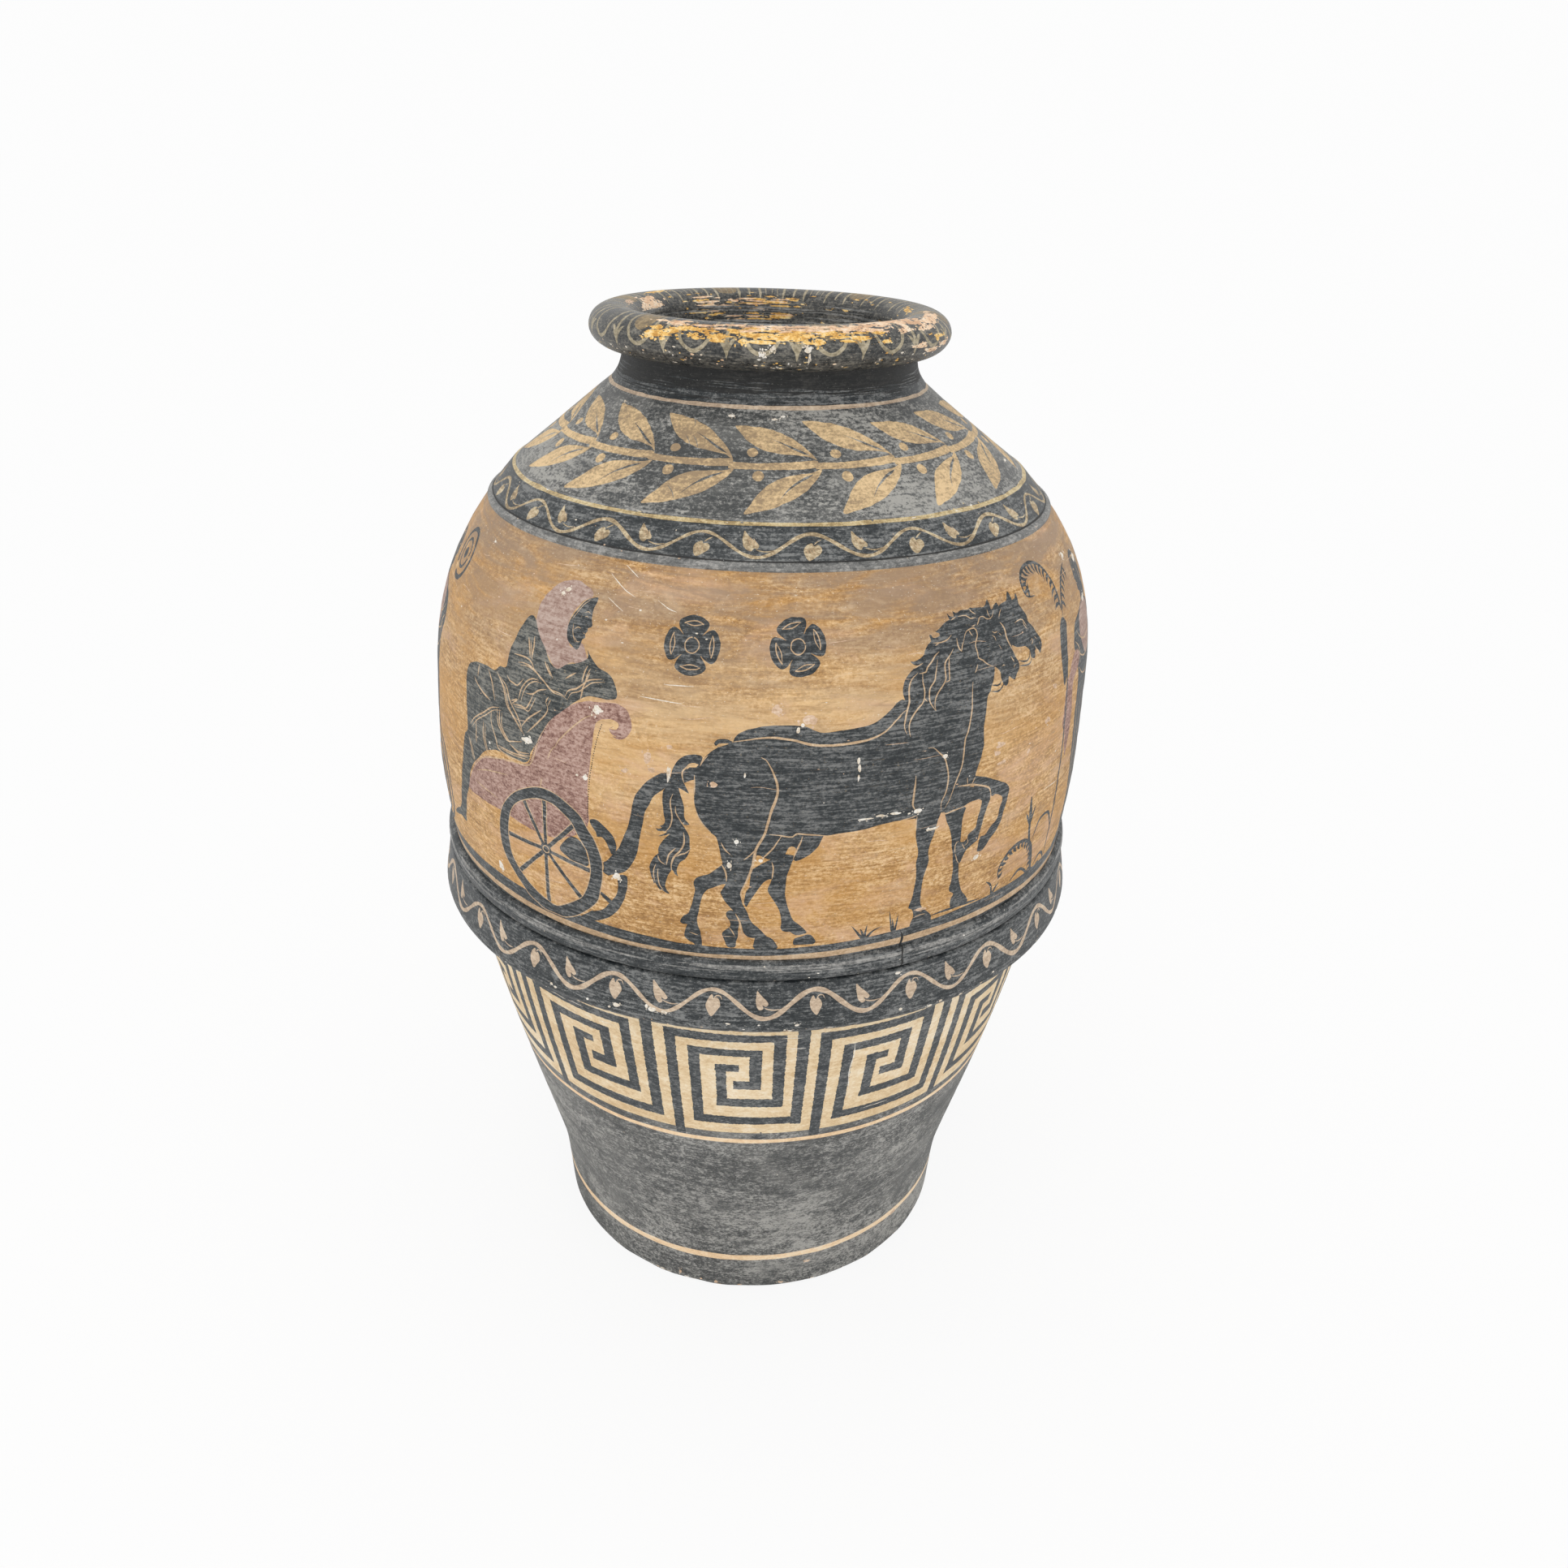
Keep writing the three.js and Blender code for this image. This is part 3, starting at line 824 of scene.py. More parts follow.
# Layers over a ground: noise scale, detail, roughness and warp; its range; how much shows; where; colour
OCHRE_LAYERS = (
    (((7, 7, 16), 5, 0.6, 0.5), (0.44, 0.62), (0.0, 0.55), "all", (0.62, 0.32, 0.085)),
    (((13, 13, 80), 6, 0.7, 0.5), (0.40, 0.58), (0.15, 0.75), "washed", (0.86, 0.60, 0.32)),
    (((9, 9, 20), 6, 0.66, 0.8), (0.52, 0.66), (0.0, 0.6), "all", (0.74, 0.475, 0.31)),
    (((30, 30, 190), 6, 0.72, 0.6), (0.54, 0.68), (0.0, 0.55), "all", (0.34, 0.19, 0.075)),
    (((11, 11, 60), 6, 0.65, 0.6), (0.34, 0.56), (0.0, 1.0), "smoked", (0.34, 0.24, 0.165)),
    (((16, 16, 26), 5, 0.6, 1.0), (0.60, 0.76), (0.0, 0.35), "all", (0.36, 0.215, 0.10)),
    (((25, 25, 50), 6, 0.65, 0.8), (0.56, 0.74), (0.0, 0.4), "all", (0.78, 0.58, 0.38)),
)
WORN_LAYERS = (
    (((9, 9, 13), 7, 0.68, 0.6), (0.5, 0.72), (0.0, 0.45), "all", (0.37, 0.365, 0.34)),
    (((16, 16, 24), 7, 0.68, 0.4), (0.52, 0.66), (0.0, 0.5), "all", (0.045, 0.05, 0.052)),
)

# Where the ochre is washed pale and where smoke darkened it, in metres
WASHED_Z = ((0.66, 0.76), (0.87, 0.81))
WASHED_X = ((-0.27, -0.14), (0.27, 0.14))
SMOKED_Z = (0.75, 0.90, 0.0, 0.78)

# The noises that move a paint's tone: scale, detail, roughness and warp
BROAD = ((6, 6, 12), 3, 0.5, 0.2)
MOTTLE = ((75, 75, 95), 7, 0.7, 0.4)
STREAK = ((34, 34, 400), 5, 0.74, 0.35)
GRIT = ((270, 270, 420), 3, 0.75)
TONE_STOPS = (0.26, 0.5, 0.76)

# Specks, fine level scratches and where they lie, worn-through clay, and the grain of the surface
SPECK = ((420, 420, 760), 3, 0.6)
SCRATCH = ((26, 26, 1500), 3, 0.7, 0.5)
SCRATCHED = ((22, 22, 40), 3, 0.5)
WORN = ((95, 95, 190), 9, 0.72, 0.3)
GRAIN = ((900, 900, 1100), 3, 0.6)

RELIEF_DEPTH = 0.0009
SPECULAR = 0.42


def ochre_masks(nodes, place):
    """Where the ochre is washed pale, in the middle of the front and back, and where smoke darkened it."""
    axes = nodes.new("SeparateXYZ")
    nodes.link(place, axes.inputs[0])

    def within(axis, sides):
        return nodes.times(*(nodes.band(axes.outputs[axis], *side) for side in sides))

    washed = nodes.times(within("Z", WASHED_Z), within("X", WASHED_X))
    return {"washed": washed, "smoked": nodes.band(axes.outputs["Z"], *SMOKED_Z)}


def layered(nodes, place, colour, layers, masks):
    """The colour with noise-shaped layers over it, each shown all over or where its mask says."""
    for noise, span, shown, where, layer_colour in layers:
        amount = nodes.band(nodes.noise(place, *noise), *span, *shown)
        if where in masks:
            amount = nodes.times(masks[where], amount)
        colour = nodes.mix(amount, colour, layer_colour)
    return colour


def material(name):
    """A procedural slip, paint or clay: brush streaks round the jar, mottling, specks, wear and relief."""
    if name in MADE:
        return MADE[name]
    *tones, rough, shares, specks, wear, relief = PAINTS[name]
    speck_colour, speck_share, speck_level = specks
    worn_colour, worn_level = wear
    made = bpy.data.materials.new("paint_" + name)
    nodes = Nodes(made)
    place = nodes.new("TexCoord").outputs["Object"]
    noises = [nodes.noise(place, *noise) for noise in (BROAD, MOTTLE, STREAK, GRIT)]
    tone = 0.5 - sum(shares) / 2
    for noise, share in zip(noises, shares):
        tone = nodes.add(noise, share, tone)
    ramp = nodes.new("ValToRGB")
    stops = ramp.color_ramp.elements
    stops[0].position = TONE_STOPS[0]
    stops[1].position = TONE_STOPS[2]
    stops.new(TONE_STOPS[1])
    for stop, colour in zip(stops, tones):
        stop.color = (*colour, 1)
    nodes.link(tone, ramp.inputs["Fac"])
    colour = ramp.outputs["Color"]

    if name == "ochre":
        colour = layered(nodes, place, colour, OCHRE_LAYERS, ochre_masks(nodes, place))
    if name in ("slip_worn", "slip_cone"):
        colour = layered(nodes, place, colour, WORN_LAYERS, {})

    speck = nodes.band(nodes.noise(place, *SPECK), speck_level, speck_level + 0.03, 0.0, speck_share)
    colour = nodes.mix(speck, colour, speck_colour)
    scratches = nodes.band(nodes.noise(place, *SCRATCH), 0.66, 0.71, 0.0, speck_share * 0.8)
    where = nodes.band(nodes.noise(place, *SCRATCHED), 0.45, 0.62)
    colour = nodes.mix(nodes.times(scratches, where), colour, speck_colour)
    worn = nodes.band(nodes.noise(place, *WORN), worn_level - 0.05, worn_level - 0.035)
    colour = nodes.mix(worn, colour, worn_colour)

    shader = nodes.new("BsdfPrincipled")
    nodes.link(colour, shader.inputs["Base Color"])
    nodes.link(nodes.band(tone, 0.3, 0.7, rough - 0.1, rough + 0.12), shader.inputs["Roughness"])
    nodes.set(shader, Specular_IOR_Level=SPECULAR)
    grain = nodes.noise(place, *GRAIN)
    height = nodes.add(noises[1], 0.5, nodes.add(noises[2], 1.0, 0.0))
    height = nodes.add(grain, 0.35, nodes.add(worn, -0.6, height))
    bump = nodes.set(nodes.new("Bump"), Strength=relief, Distance=RELIEF_DEPTH)
    nodes.link(height, bump.inputs["Height"])
    nodes.link(bump.outputs["Normal"], shader.inputs["Normal"])
    nodes.link(shader.outputs["BSDF"], nodes.new("OutputMaterial").inputs["Surface"])
    MADE[name] = made
    return made


# The drawings: distance round the band from the front's middle, and place along it, in millimetres.
# Chip tables hold x, v, half width and half height.
FOOT_CHIPS = (
    (-62, 5, 2, 3), (-42, 4, 2.5, 3), (42, 5, 5, 2), (210, 52, 7, 3), (75, 36, 5, 2.5), (-90, 9, 3, 4),
)

# The meander: its bars within one unit, where the front's units start, and how many fill the rest
MEANDER_BARS = (
    (0, 171, 12, 341), (0, 330, 127, 341), (115, 228, 127, 341), (53, 228, 127, 241), (53, 228, 65, 296),
    (53, 285, 78, 296), (139, 197, 151, 353), (25, 197, 151, 210), (25, 197, 37, 319), (25, 308, 102, 319),
    (90, 257, 102, 319), (72, 257, 102, 271),
)
MEANDER_UNIT = 163.0
MEANDER_STARTS = (-431, -268, -93, 70, 240)
MEANDER_REST = 9

COLLAR_WAVES = 23
COLLAR_LEAF_UP = (
    (-6.5, 48), (-2, 42.5), (3, 37.5), (5.2, 33.6), (2.6, 31.4), (-0.6, 33.2), (0.4, 29.4), (-3, 27.6),
    (-6, 31), (-7.2, 36.5), (-7, 42),
)
COLLAR_LEAF_DOWN = (
    (0.2, 20.5), (-4.6, 26.5), (-5.8, 33), (-4.2, 38.5), (-1.6, 41.4), (0.2, 37.2), (2.6, 38.8), (5.4, 36),
    (6.6, 31), (4.2, 26),
)
COLLAR_CHIPS = (
    (-100, 18, 5, 2.5), (-88, 17, 4, 2), (-106, 20, 2, 2.5), (-215, 12, 3, 2), (-210, 10, 2, 1.5),
    (-170, 11, 1.8, 1.5), (-145, 10, 1.6, 1.4), (-137, 14, 4, 2.6), (42, 11, 3, 2), (30, 6, 2, 1.2),
    (148, 12, 2, 2), (182, 5.5, 4, 1.8), (195, 7, 3, 1.8), (222, 4.5, 4, 2), (35, 4.5, 4, 1.2),
    (75, 4.5, 4, 1.2), (-25, 12.5, 3, 1.2), (270, 12, 2.5, 1.5), (145, 51, 4, 2), (5, 12, 1.6, 1),
)

IVY_WAVES = 18
IVY_LEAF_UP = (
    (-9, 38), (-4.5, 33), (1.5, 28.5), (5, 24.5), (4, 21.5), (0.5, 21.8), (-1.5, 18.8), (-5.5, 19.6),
    (-9, 23.5), (-10.5, 29), (-10, 34),
)
IVY_LEAF_DOWN = (
    (-4, 10.8), (-7.6, 16.5), (-7.4, 22), (-4, 26), (0.4, 27.4), (1.8, 24.6), (5.4, 25.6), (8.6, 23),
    (8, 18.6), (3.4, 14.8),
)

LAUREL_JOINTS = 17
LEAF_HIGH = (
    (-103.7, 111), (-90.7, 111), (-75.6, 110), (-58.3, 107.5), (-41, 102.5), (-25.9, 95), (-14, 86.5),
    (-4.3, 77.5), (1.1, 69), (-6.5, 73), (-21.6, 75.5), (-41, 77), (-60.5, 81.5), (-73.4, 87), (-86.4, 95),
    (-96.1, 103.5),
)
LEAF_LOW = (
    (-80.6, 10), (-68.3, 12), (-52.6, 16.5), (-35.8, 24), (-19, 33.5), (-7.8, 43), (0, 51), (4.5, 59),
    (-6.7, 56), (-24.6, 54), (-42.6, 50), (-56, 43.5), (-65, 34.5), (-73.9, 22),
)
RIB_HIGH = ((-52, 95), (-36, 88.5), (-20, 81), (-7, 75))
RIB_LOW = ((-45, 26), (-36, 36.5), (-23, 46), (-7, 53.5))
STEM = (
    (-98, 59.0), (-60, 58.8), (-20, 59.6), (-2, 61), (2, 62.5), (2, 68.6), (-2, 69.6), (-30, 67.4),
    (-70, 65.8), (-98, 66.4),
)
BERRIES = ((-71, 77, 6.6, 4.9), (-67, 50, 6.4, 5.8))
CONE_CHIPS = (
    (-49, 117, 6, 1.8), (24, 118, 5, 1.8), (-240, 116, 4, 1.8), (355, 24, 7, 1.8), (12, 115, 5, 1.8),
)

RIM_TONGUES = 18
TONGUE = (
    (-16, 97), (-16.5, 88), (-17, 75), (-18, 60), (-16, 48), (-10, 38), (0, 33.5), (10, 38), (16, 48),
    (18, 60), (17, 75), (16.5, 88), (16, 97),
)
TONGUE_WASH = ((-13, 84), (-14, 62), (-9, 50), (0, 46), (9, 50), (14, 62), (13, 84), (0, 88))
DART = (
    (-9.5, 47), (-5.5, 41), (-2, 35), (0, 27), (2, 35), (5.5, 41), (9.5, 47), (5, 46), (2, 42), (1.8, 60),
    (1.7, 76), (1.0, 92), (-1.0, 92), (-1.7, 76), (-1.8, 60), (-2, 42), (-5, 46),
)
RIM_WEAR = (
    (-60, 52, 14, 3.4, "orange"), (-30, 55, 16, 2.6, "orange"), (2, 50, 22, 3.2, "orange"),
    (34, 50, 14, 3, "orange"), (60, 53, 16, 3.4, "orange"), (104, 56, 18, 4, "peach"),
    (20, 63, 26, 3, "peach"), (58, 63, 20, 3, "peach"), (-34, 63, 18, 2.2, "peach"),
    (-90, 58, 12, 2.4, "peach"), (112, 72, 22, 6, "peach"), (92, 62, 16, 4, "peach"),
    (-106, 45, 17, 4.6, "orange"), (-96, 49, 12, 3, "orange"), (-118, 42, 7, 2.5, "orange"),
    (-48, 46, 10, 3, "orange"), (16, 47, 17, 3.0, "orange"), (46, 44.5, 5, 4, "orange"),
    (-22, 44, 6, 3, "orange"), (12, 58.5, 30, 3.6, "peach"), (-10, 60, 12, 2, "orange"),
    (38, 56.5, 10, 3, "peach"), (80, 58.5, 17, 3.8, "peach"), (88, 53, 10, 2, "orange"),
    (-76, 54, 8, 2.5, "orange"), (-62, 60, 9, 1.8, "orange"), (-70, 47, 6, 2, "orange"),
    (130, 70, 34, 7, "peach"), (165, 66, 28, 9, "peach"), (150, 80, 36, 6, "peach"),
    (118, 62, 12, 4, "peach"), (178, 52, 16, 4, "peach"), (200, 60, 22, 6, "peach"),
    (148, 52, 12, 3, "peach"), (232, 66, 24, 6, "peach"), (196, 42, 14, 3, "orange"),
    (160, 36, 10, 2.2, "peach"), (182, 30, 12, 2, "peach"), (210, 34, 12, 2.5, "peach"),
    (-5, 34, 4, 3, "chip"), (4, 38, 3, 3, "chip"), (36, 38, 4, 3, "chip"), (38, 30, 1.6, 5, "chip"),
    (-363, 90, 26, 7, "peach"), (-345, 96, 22, 4, "peach"), (-300, 84, 18, 3, "bare"),
    (-400, 76, 20, 3, "orange"), (300, 88, 20, 3, "orange"),
)

# The frieze: car, rider, horses, plants and standing figures
WHEEL_OUTER = (
    (-280, 104), (-279, 87), (-274, 74), (-266, 64), (-256, 53), (-246, 43), (-235, 38), (-226, 34),
    (-210, 34), (-200, 34), (-186, 40), (-175, 48), (-164, 58), (-156, 68), (-152, 81), (-149, 94),
    (-148, 106), (-148, 115), (-152, 127), (-156, 136), (-162, 144), (-170, 156), (-182, 164), (-198, 171),
    (-216, 172), (-234, 166), (-253, 155), (-268, 140), (-276, 126),
)
WHEEL_INNER = (
    (-266, 110), (-266, 95), (-264, 82), (-258, 72), (-250, 64), (-240, 56), (-230, 50), (-219, 46),
    (-208, 44), (-196, 50), (-184, 58), (-174, 66), (-168, 76), (-164, 86), (-161, 98), (-161, 110),
    (-163, 120), (-168, 128), (-174, 137), (-180, 147), (-190, 154), (-202, 160), (-220, 160), (-240, 152),
    (-254, 142), (-262, 129),
)
HUB = (-213, 108)
FAR_WHEEL = (
    ((-178, 42), (-170, 40), (-160, 43), (-148, 49), (-138, 58), (-130, 70), (-125, 82), (-122, 95),
     (-122, 104), (-124, 105), (-129, 104), (-132, 99), (-132, 90), (-135, 80), (-142, 70), (-150, 60),
     (-161, 54), (-164, 54), (-170, 49)),
    ((-159, 155), (-152, 157), (-144, 152), (-138, 147), (-134, 142), (-132, 136), (-132, 132),
     (-134, 126), (-137, 124), (-139, 128), (-142, 135), (-147, 140), (-152, 139), (-153, 144),
     (-158, 150)),
    ((-195, 116), (-184, 130), (-176, 132), (-172, 130), (-166, 126), (-164, 118), (-162, 108),
     (-166, 104), (-177, 104), (-186, 108), (-192, 111)),
    ((-154, 78), (-152, 80), (-140, 72), (-143, 68)),
)
SPOKES = (
    (-212, 164), (-240, 153), (-268, 107), (-257, 66), (-218, 44), (-174, 64), (-160, 100), (-174, 148),
)
POLE = (
    (-80, 217), (-79, 215), (-78, 210), (-81, 204), (-85, 200), (-90, 196), (-94, 192), (-98, 184),
    (-102, 176), (-104, 167), (-106, 158), (-108, 148), (-110, 138), (-112, 128), (-117, 118), (-123, 110),
    (-129, 106), (-138, 102), (-142, 100), (-147, 103), (-146, 107), (-146, 114), (-143, 116), (-138, 122),
    (-133, 128), (-128, 136), (-124, 146), (-120, 156), (-118, 164), (-116, 173), (-114, 183), (-112, 190),
    (-106, 199), (-100, 206), (-93, 212), (-86, 216),
)
CAR = (
    (-150, 270), (-165, 268), (-180, 262), (-192, 252), (-205, 240), (-213, 228), (-222, 212), (-226, 200),
    (-232, 192), (-250, 187), (-270, 184), (-290, 180), (-305, 174), (-320, 162), (-330, 148), (-338, 132),
    (-335, 127), (-300, 127), (-270, 128), (-240, 124), (-205, 124), (-190, 128), (-170, 138), (-161, 150),
    (-160, 165), (-160, 190), (-155, 230), (-152, 250), (-145, 256), (-136, 257), (-133, 252), (-140, 247),
    (-138, 243), (-128, 240), (-120, 244), (-116, 254), (-120, 266), (-132, 272),
)
CAR_LINES = (
    ((-153, 258.5), (-162, 254.5), (-171, 247.5), (-179, 240), (-187.5, 231), (-193, 225), (-197.5, 216.5)),
    ((-197, 219), (-202, 212.5), (-206, 204)), ((-214, 183), (-216, 172)),
    ((-318, 155), (-300, 162), (-280, 167), (-262, 170)), ((-322, 143), (-300, 141), (-280, 139)),
    ((-330, 148), (-318, 162), (-303, 174), (-286, 180), (-262, 186), (-236, 189), (-226, 196),
     (-216, 222), (-203, 242)),
)
HOOD = (
    (-240, 325), (-241, 335), (-240, 345), (-232, 357), (-222, 366), (-208, 371), (-195, 370), (-183, 366),
    (-178, 360), (-188, 354), (-194, 345), (-198, 335), (-197, 325), (-193, 316), (-188, 312), (-178, 318),
    (-172, 312), (-168, 303), (-175, 300), (-188, 298), (-197, 290), (-205, 291), (-215, 300), (-225, 308),
    (-235, 315),
)
FACE = (
    (-172, 360), (-183, 356), (-190, 348), (-196, 338), (-198, 328), (-195, 318), (-188, 313), (-182, 311),
    (-179, 316), (-178, 321), (-175, 323), (-176, 326), (-174, 329), (-174.5, 331.5), (-170, 334),
    (-172.5, 341), (-173, 349), (-171, 356),
)
ROBE = (
    (-250, 328), (-242, 328), (-232, 316), (-220, 305), (-210, 294), (-200, 290), (-190, 296), (-178, 300),
    (-168, 306), (-170, 313), (-165, 308), (-155, 300), (-145, 297), (-138, 292), (-133, 282), (-133, 276),
    (-142, 274), (-155, 274), (-165, 272), (-172, 268), (-180, 262), (-192, 252), (-205, 240), (-213, 228),
    (-220, 215), (-227, 205), (-230, 196), (-240, 191), (-258, 191), (-280, 190), (-300, 182), (-310, 172),
    (-322, 162), (-332, 148), (-338, 130), (-345, 115), (-350, 100), (-355, 88), (-358, 80), (-372, 80),
    (-385, 76), (-397, 73), (-392, 79), (-380, 86), (-370, 92), (-362, 105), (-358, 125), (-352, 150),
    (-347, 170), (-342, 185), (-335, 192), (-335, 205), (-336, 225), (-338, 245), (-336, 257), (-330, 262),
    (-318, 266), (-300, 268), (-285, 268), (-278, 274), (-268, 276), (-267, 290), (-262, 305), (-258, 316),
)
ROBE_LINES = (
    ((-252, 284), (-245.5, 285.5), (-236.5, 285), (-229.5, 283), (-222, 279.5), (-213, 274.5),
     (-205, 270), (-195.5, 269.5), (-188, 267.5)),
    ((-259.5, 290.5), (-248.5, 291), (-241, 291), (-234, 288.5), (-229.5, 283.5)),
    ((-244, 309.5), (-240, 301), (-236.5, 292.5)), ((-236.5, 312), (-234.5, 302.5), (-234.5, 291.5)),
    ((-217, 293.5), (-212.5, 287.5), (-207.5, 282)), ((-189.5, 283.5), (-185, 287), (-178.5, 291)),
    ((-166.5, 299.5), (-169, 294), (-171, 284)),
    ((-163, 294), (-165.5, 288), (-168.5, 280.5), (-170.5, 267.5)),
    ((-188, 267.5), (-184.5, 274), (-176.5, 277), (-169, 283), (-162.5, 287.5), (-149.5, 290.5)),
    ((-265, 268.5), (-260.5, 265), (-254, 264), (-248.5, 263.5), (-241, 271.5)),
    ((-245.5, 251), (-243, 261.5), (-237, 270), (-229.5, 274.5), (-221.5, 275)),
    ((-236, 259.5), (-230, 260), (-226, 261.5), (-220, 266), (-210.5, 269)),
    ((-254, 244.5), (-241.5, 246), (-234.5, 245.5), (-230.5, 251.5), (-226, 260.5)),
    ((-209.5, 257), (-207, 252.5), (-208.5, 247), (-218, 236.5), (-232, 223)),
    ((-207, 263), (-209, 260), (-210, 256.5)), ((-240, 226.5), (-230.5, 237), (-214.5, 249)),
    ((-321, 251), (-313, 246), (-303, 241.5), (-291.5, 239)), ((-296, 266), (-287, 254), (-281, 239.5)),
    ((-282, 268), (-271.5, 258.5), (-266.5, 251.5), (-262, 241.5), (-253.5, 234), (-239, 221)),
    ((-275.5, 264.5), (-264.5, 258), (-257.5, 246.5), (-244.5, 233), (-237.5, 220)),
    ((-328, 200.5), (-317.5, 211), (-300, 222), (-286.5, 231), (-273.5, 235)),
    ((-276.5, 233.5), (-275.5, 222.5), (-272.5, 215.5), (-261, 206.5), (-252, 208), (-239, 211.5)),
    ((-272.5, 233.5), (-272.5, 222), (-268.5, 214.5), (-259.5, 207)),
    ((-286.5, 229), (-286, 215), (-279, 202), (-275.5, 194), (-260.5, 191), (-235, 191.5)),
    ((-300.5, 213), (-301.5, 198), (-294.5, 179.5)), ((-315.5, 207.5), (-316, 190), (-315.5, 185)),
    ((-257.5, 204), (-245, 200), (-229.5, 202.5)), ((-314, 265.5), (-314.5, 256.5), (-314.5, 253)),
    ((-333, 186.5), (-327.5, 175), (-324, 164)), ((-256, 247), (-247, 250.5), (-254, 245)),
    ((-275.5, 196.5), (-254, 196), (-231.5, 198)),
)
FACE_LINES = (
    ((-182, 344.5), (-178.5, 346), (-175, 344.8)), ((-181, 340.6), (-178.6, 341.4), (-176.4, 340.6)),
    ((-195, 336), (-191, 343), (-186, 351), (-180, 356)), ((-190, 328), (-186, 330.6), (-182, 330)),
    ((-176, 326.3), (-179, 326.6)), ((-192, 345), (-188, 352), (-181, 359)),
    ((-188, 322), (-184, 318), (-180, 318.5)), ((-192, 333), (-190.5, 325), (-186, 317)),
)
HORSES = (
    (-52, 227.5), (-48, 234), (-42, 240.5), (-36, 245), (-39, 246.5), (-39.5, 248), (-37, 251.5),
    (-31.5, 252.5), (-27, 252), (-23, 250.5), (-22, 253.5), (-18.5, 257.5), (-12.5, 261), (-5.5, 263),
    (3, 265), (15, 266), (29, 266), (41.5, 264.5), (49, 261), (57, 258.5), (73, 260), (89.5, 261.5),
    (103, 264), (113, 270), (120, 275), (125.5, 280), (131, 282.5), (133.5, 281.5), (132, 286.5),
    (132.5, 293), (134.5, 298.5), (139.5, 304), (146, 308.5), (152, 310.5), (149.5, 310), (145.5, 311),
    (142, 314.5), (145.5, 314), (150, 315), (154.5, 317), (157.5, 319.5), (158.5, 322), (160.5, 324.5),
    (163, 327), (167, 329.5), (166.5, 332.5), (166, 335), (168, 335), (169.5, 332.5), (173.5, 332),
    (177.5, 333), (177.5, 335.5), (174.5, 336.5), (172.5, 338.5), (174.5, 337.5), (178, 339),
    (180.5, 340.5), (184.5, 343), (188, 344.5), (192.5, 345.5), (191.5, 348.5), (191, 352), (192.5, 349.5),
    (194.5, 348), (198, 347.5), (198.5, 349), (198, 353), (201, 350.5), (204, 350.5), (207.5, 352),
    (212.5, 352), (217.5, 351.5), (221, 353), (223, 352), (228.5, 351.5), (234, 351), (237.5, 350.5),
    (241.5, 352), (243.5, 354.5), (246, 356.5), (247.5, 352.5), (247.5, 349), (247.5, 346.5), (250, 347),
    (252.5, 349.5), (255, 350.5), (257.5, 351.5), (259, 349), (259.5, 347.5), (261.5, 348.5), (266, 349.5),
    (271, 350), (273.5, 351), (275.5, 354.5), (279, 358.5), (280.5, 356), (281, 352.5), (281.5, 349),
    (284.5, 349.5), (287, 350), (288.5, 353), (290.5, 354.5), (291, 351.5), (291, 348.5), (290, 344),
    (292, 340.5), (294.5, 336), (297.5, 331), (297.5, 327.5), (297.5, 325), (301, 321.5), (304.5, 317),
    (308, 311.5), (312, 307), (313.5, 303), (313.5, 298), (311.5, 294.5), (308.5, 291.5), (306.5, 295),
    (304.5, 297), (301.5, 297), (300, 295.5), (300, 291.5), (298, 289), (294.5, 290), (292, 292),
    (292, 295.5), (291.5, 298.5), (288, 302), (284.5, 304), (279.5, 304.5), (273, 305.5), (268.5, 308),
    (265.5, 309.5), (266, 304), (268, 298), (271, 293.5), (272.5, 289.5), (271.5, 285), (268.5, 282.5),
    (265.5, 278), (264, 276.5), (260, 279), (256, 282), (254.5, 277), (251.5, 274), (247.5, 276),
    (246, 279.5), (244.5, 283.5), (244.5, 288), (241, 292.5), (237.5, 295), (237, 291.5), (235.5, 286.5),
    (234, 281.5), (231.5, 278.5), (229.5, 273.5), (226.5, 271), (224.5, 265.5), (223, 256.5), (221.5, 248),
    (220, 241), (221, 229.5), (221.5, 224), (220, 218.5), (218.5, 211.5), (216, 204), (214, 198.5),
    (213.5, 194.5), (215, 186), (202.5, 184), (200.5, 167.5), (189.5, 164.5), (176, 165.5), (174, 164),
    (172.5, 158.5), (159, 160), (150.5, 165), (141.5, 166), (131, 166.5), (113.5, 165.5), (96.5, 162.5),
    (79.5, 161.5), (63.5, 160), (60, 160.5), (55.5, 150), (49.5, 143), (41.5, 137.5), (35, 135),
    (33, 138.5), (35, 148), (28.5, 149.5), (21.5, 134.5), (12.5, 136.5), (5.5, 139.5), (0, 141.5),
    (-2.5, 133), (-12.5, 123), (-23.5, 118), (-29.5, 130), (-32, 136.5), (-33.5, 144), (-35.5, 153),
    (-37, 158.5), (-42.5, 163), (-48.5, 169.5), (-52.5, 176.5), (-55, 184), (-56.5, 190), (-57, 198),
    (-57, 206), (-56, 215), (-54, 221.5),
)
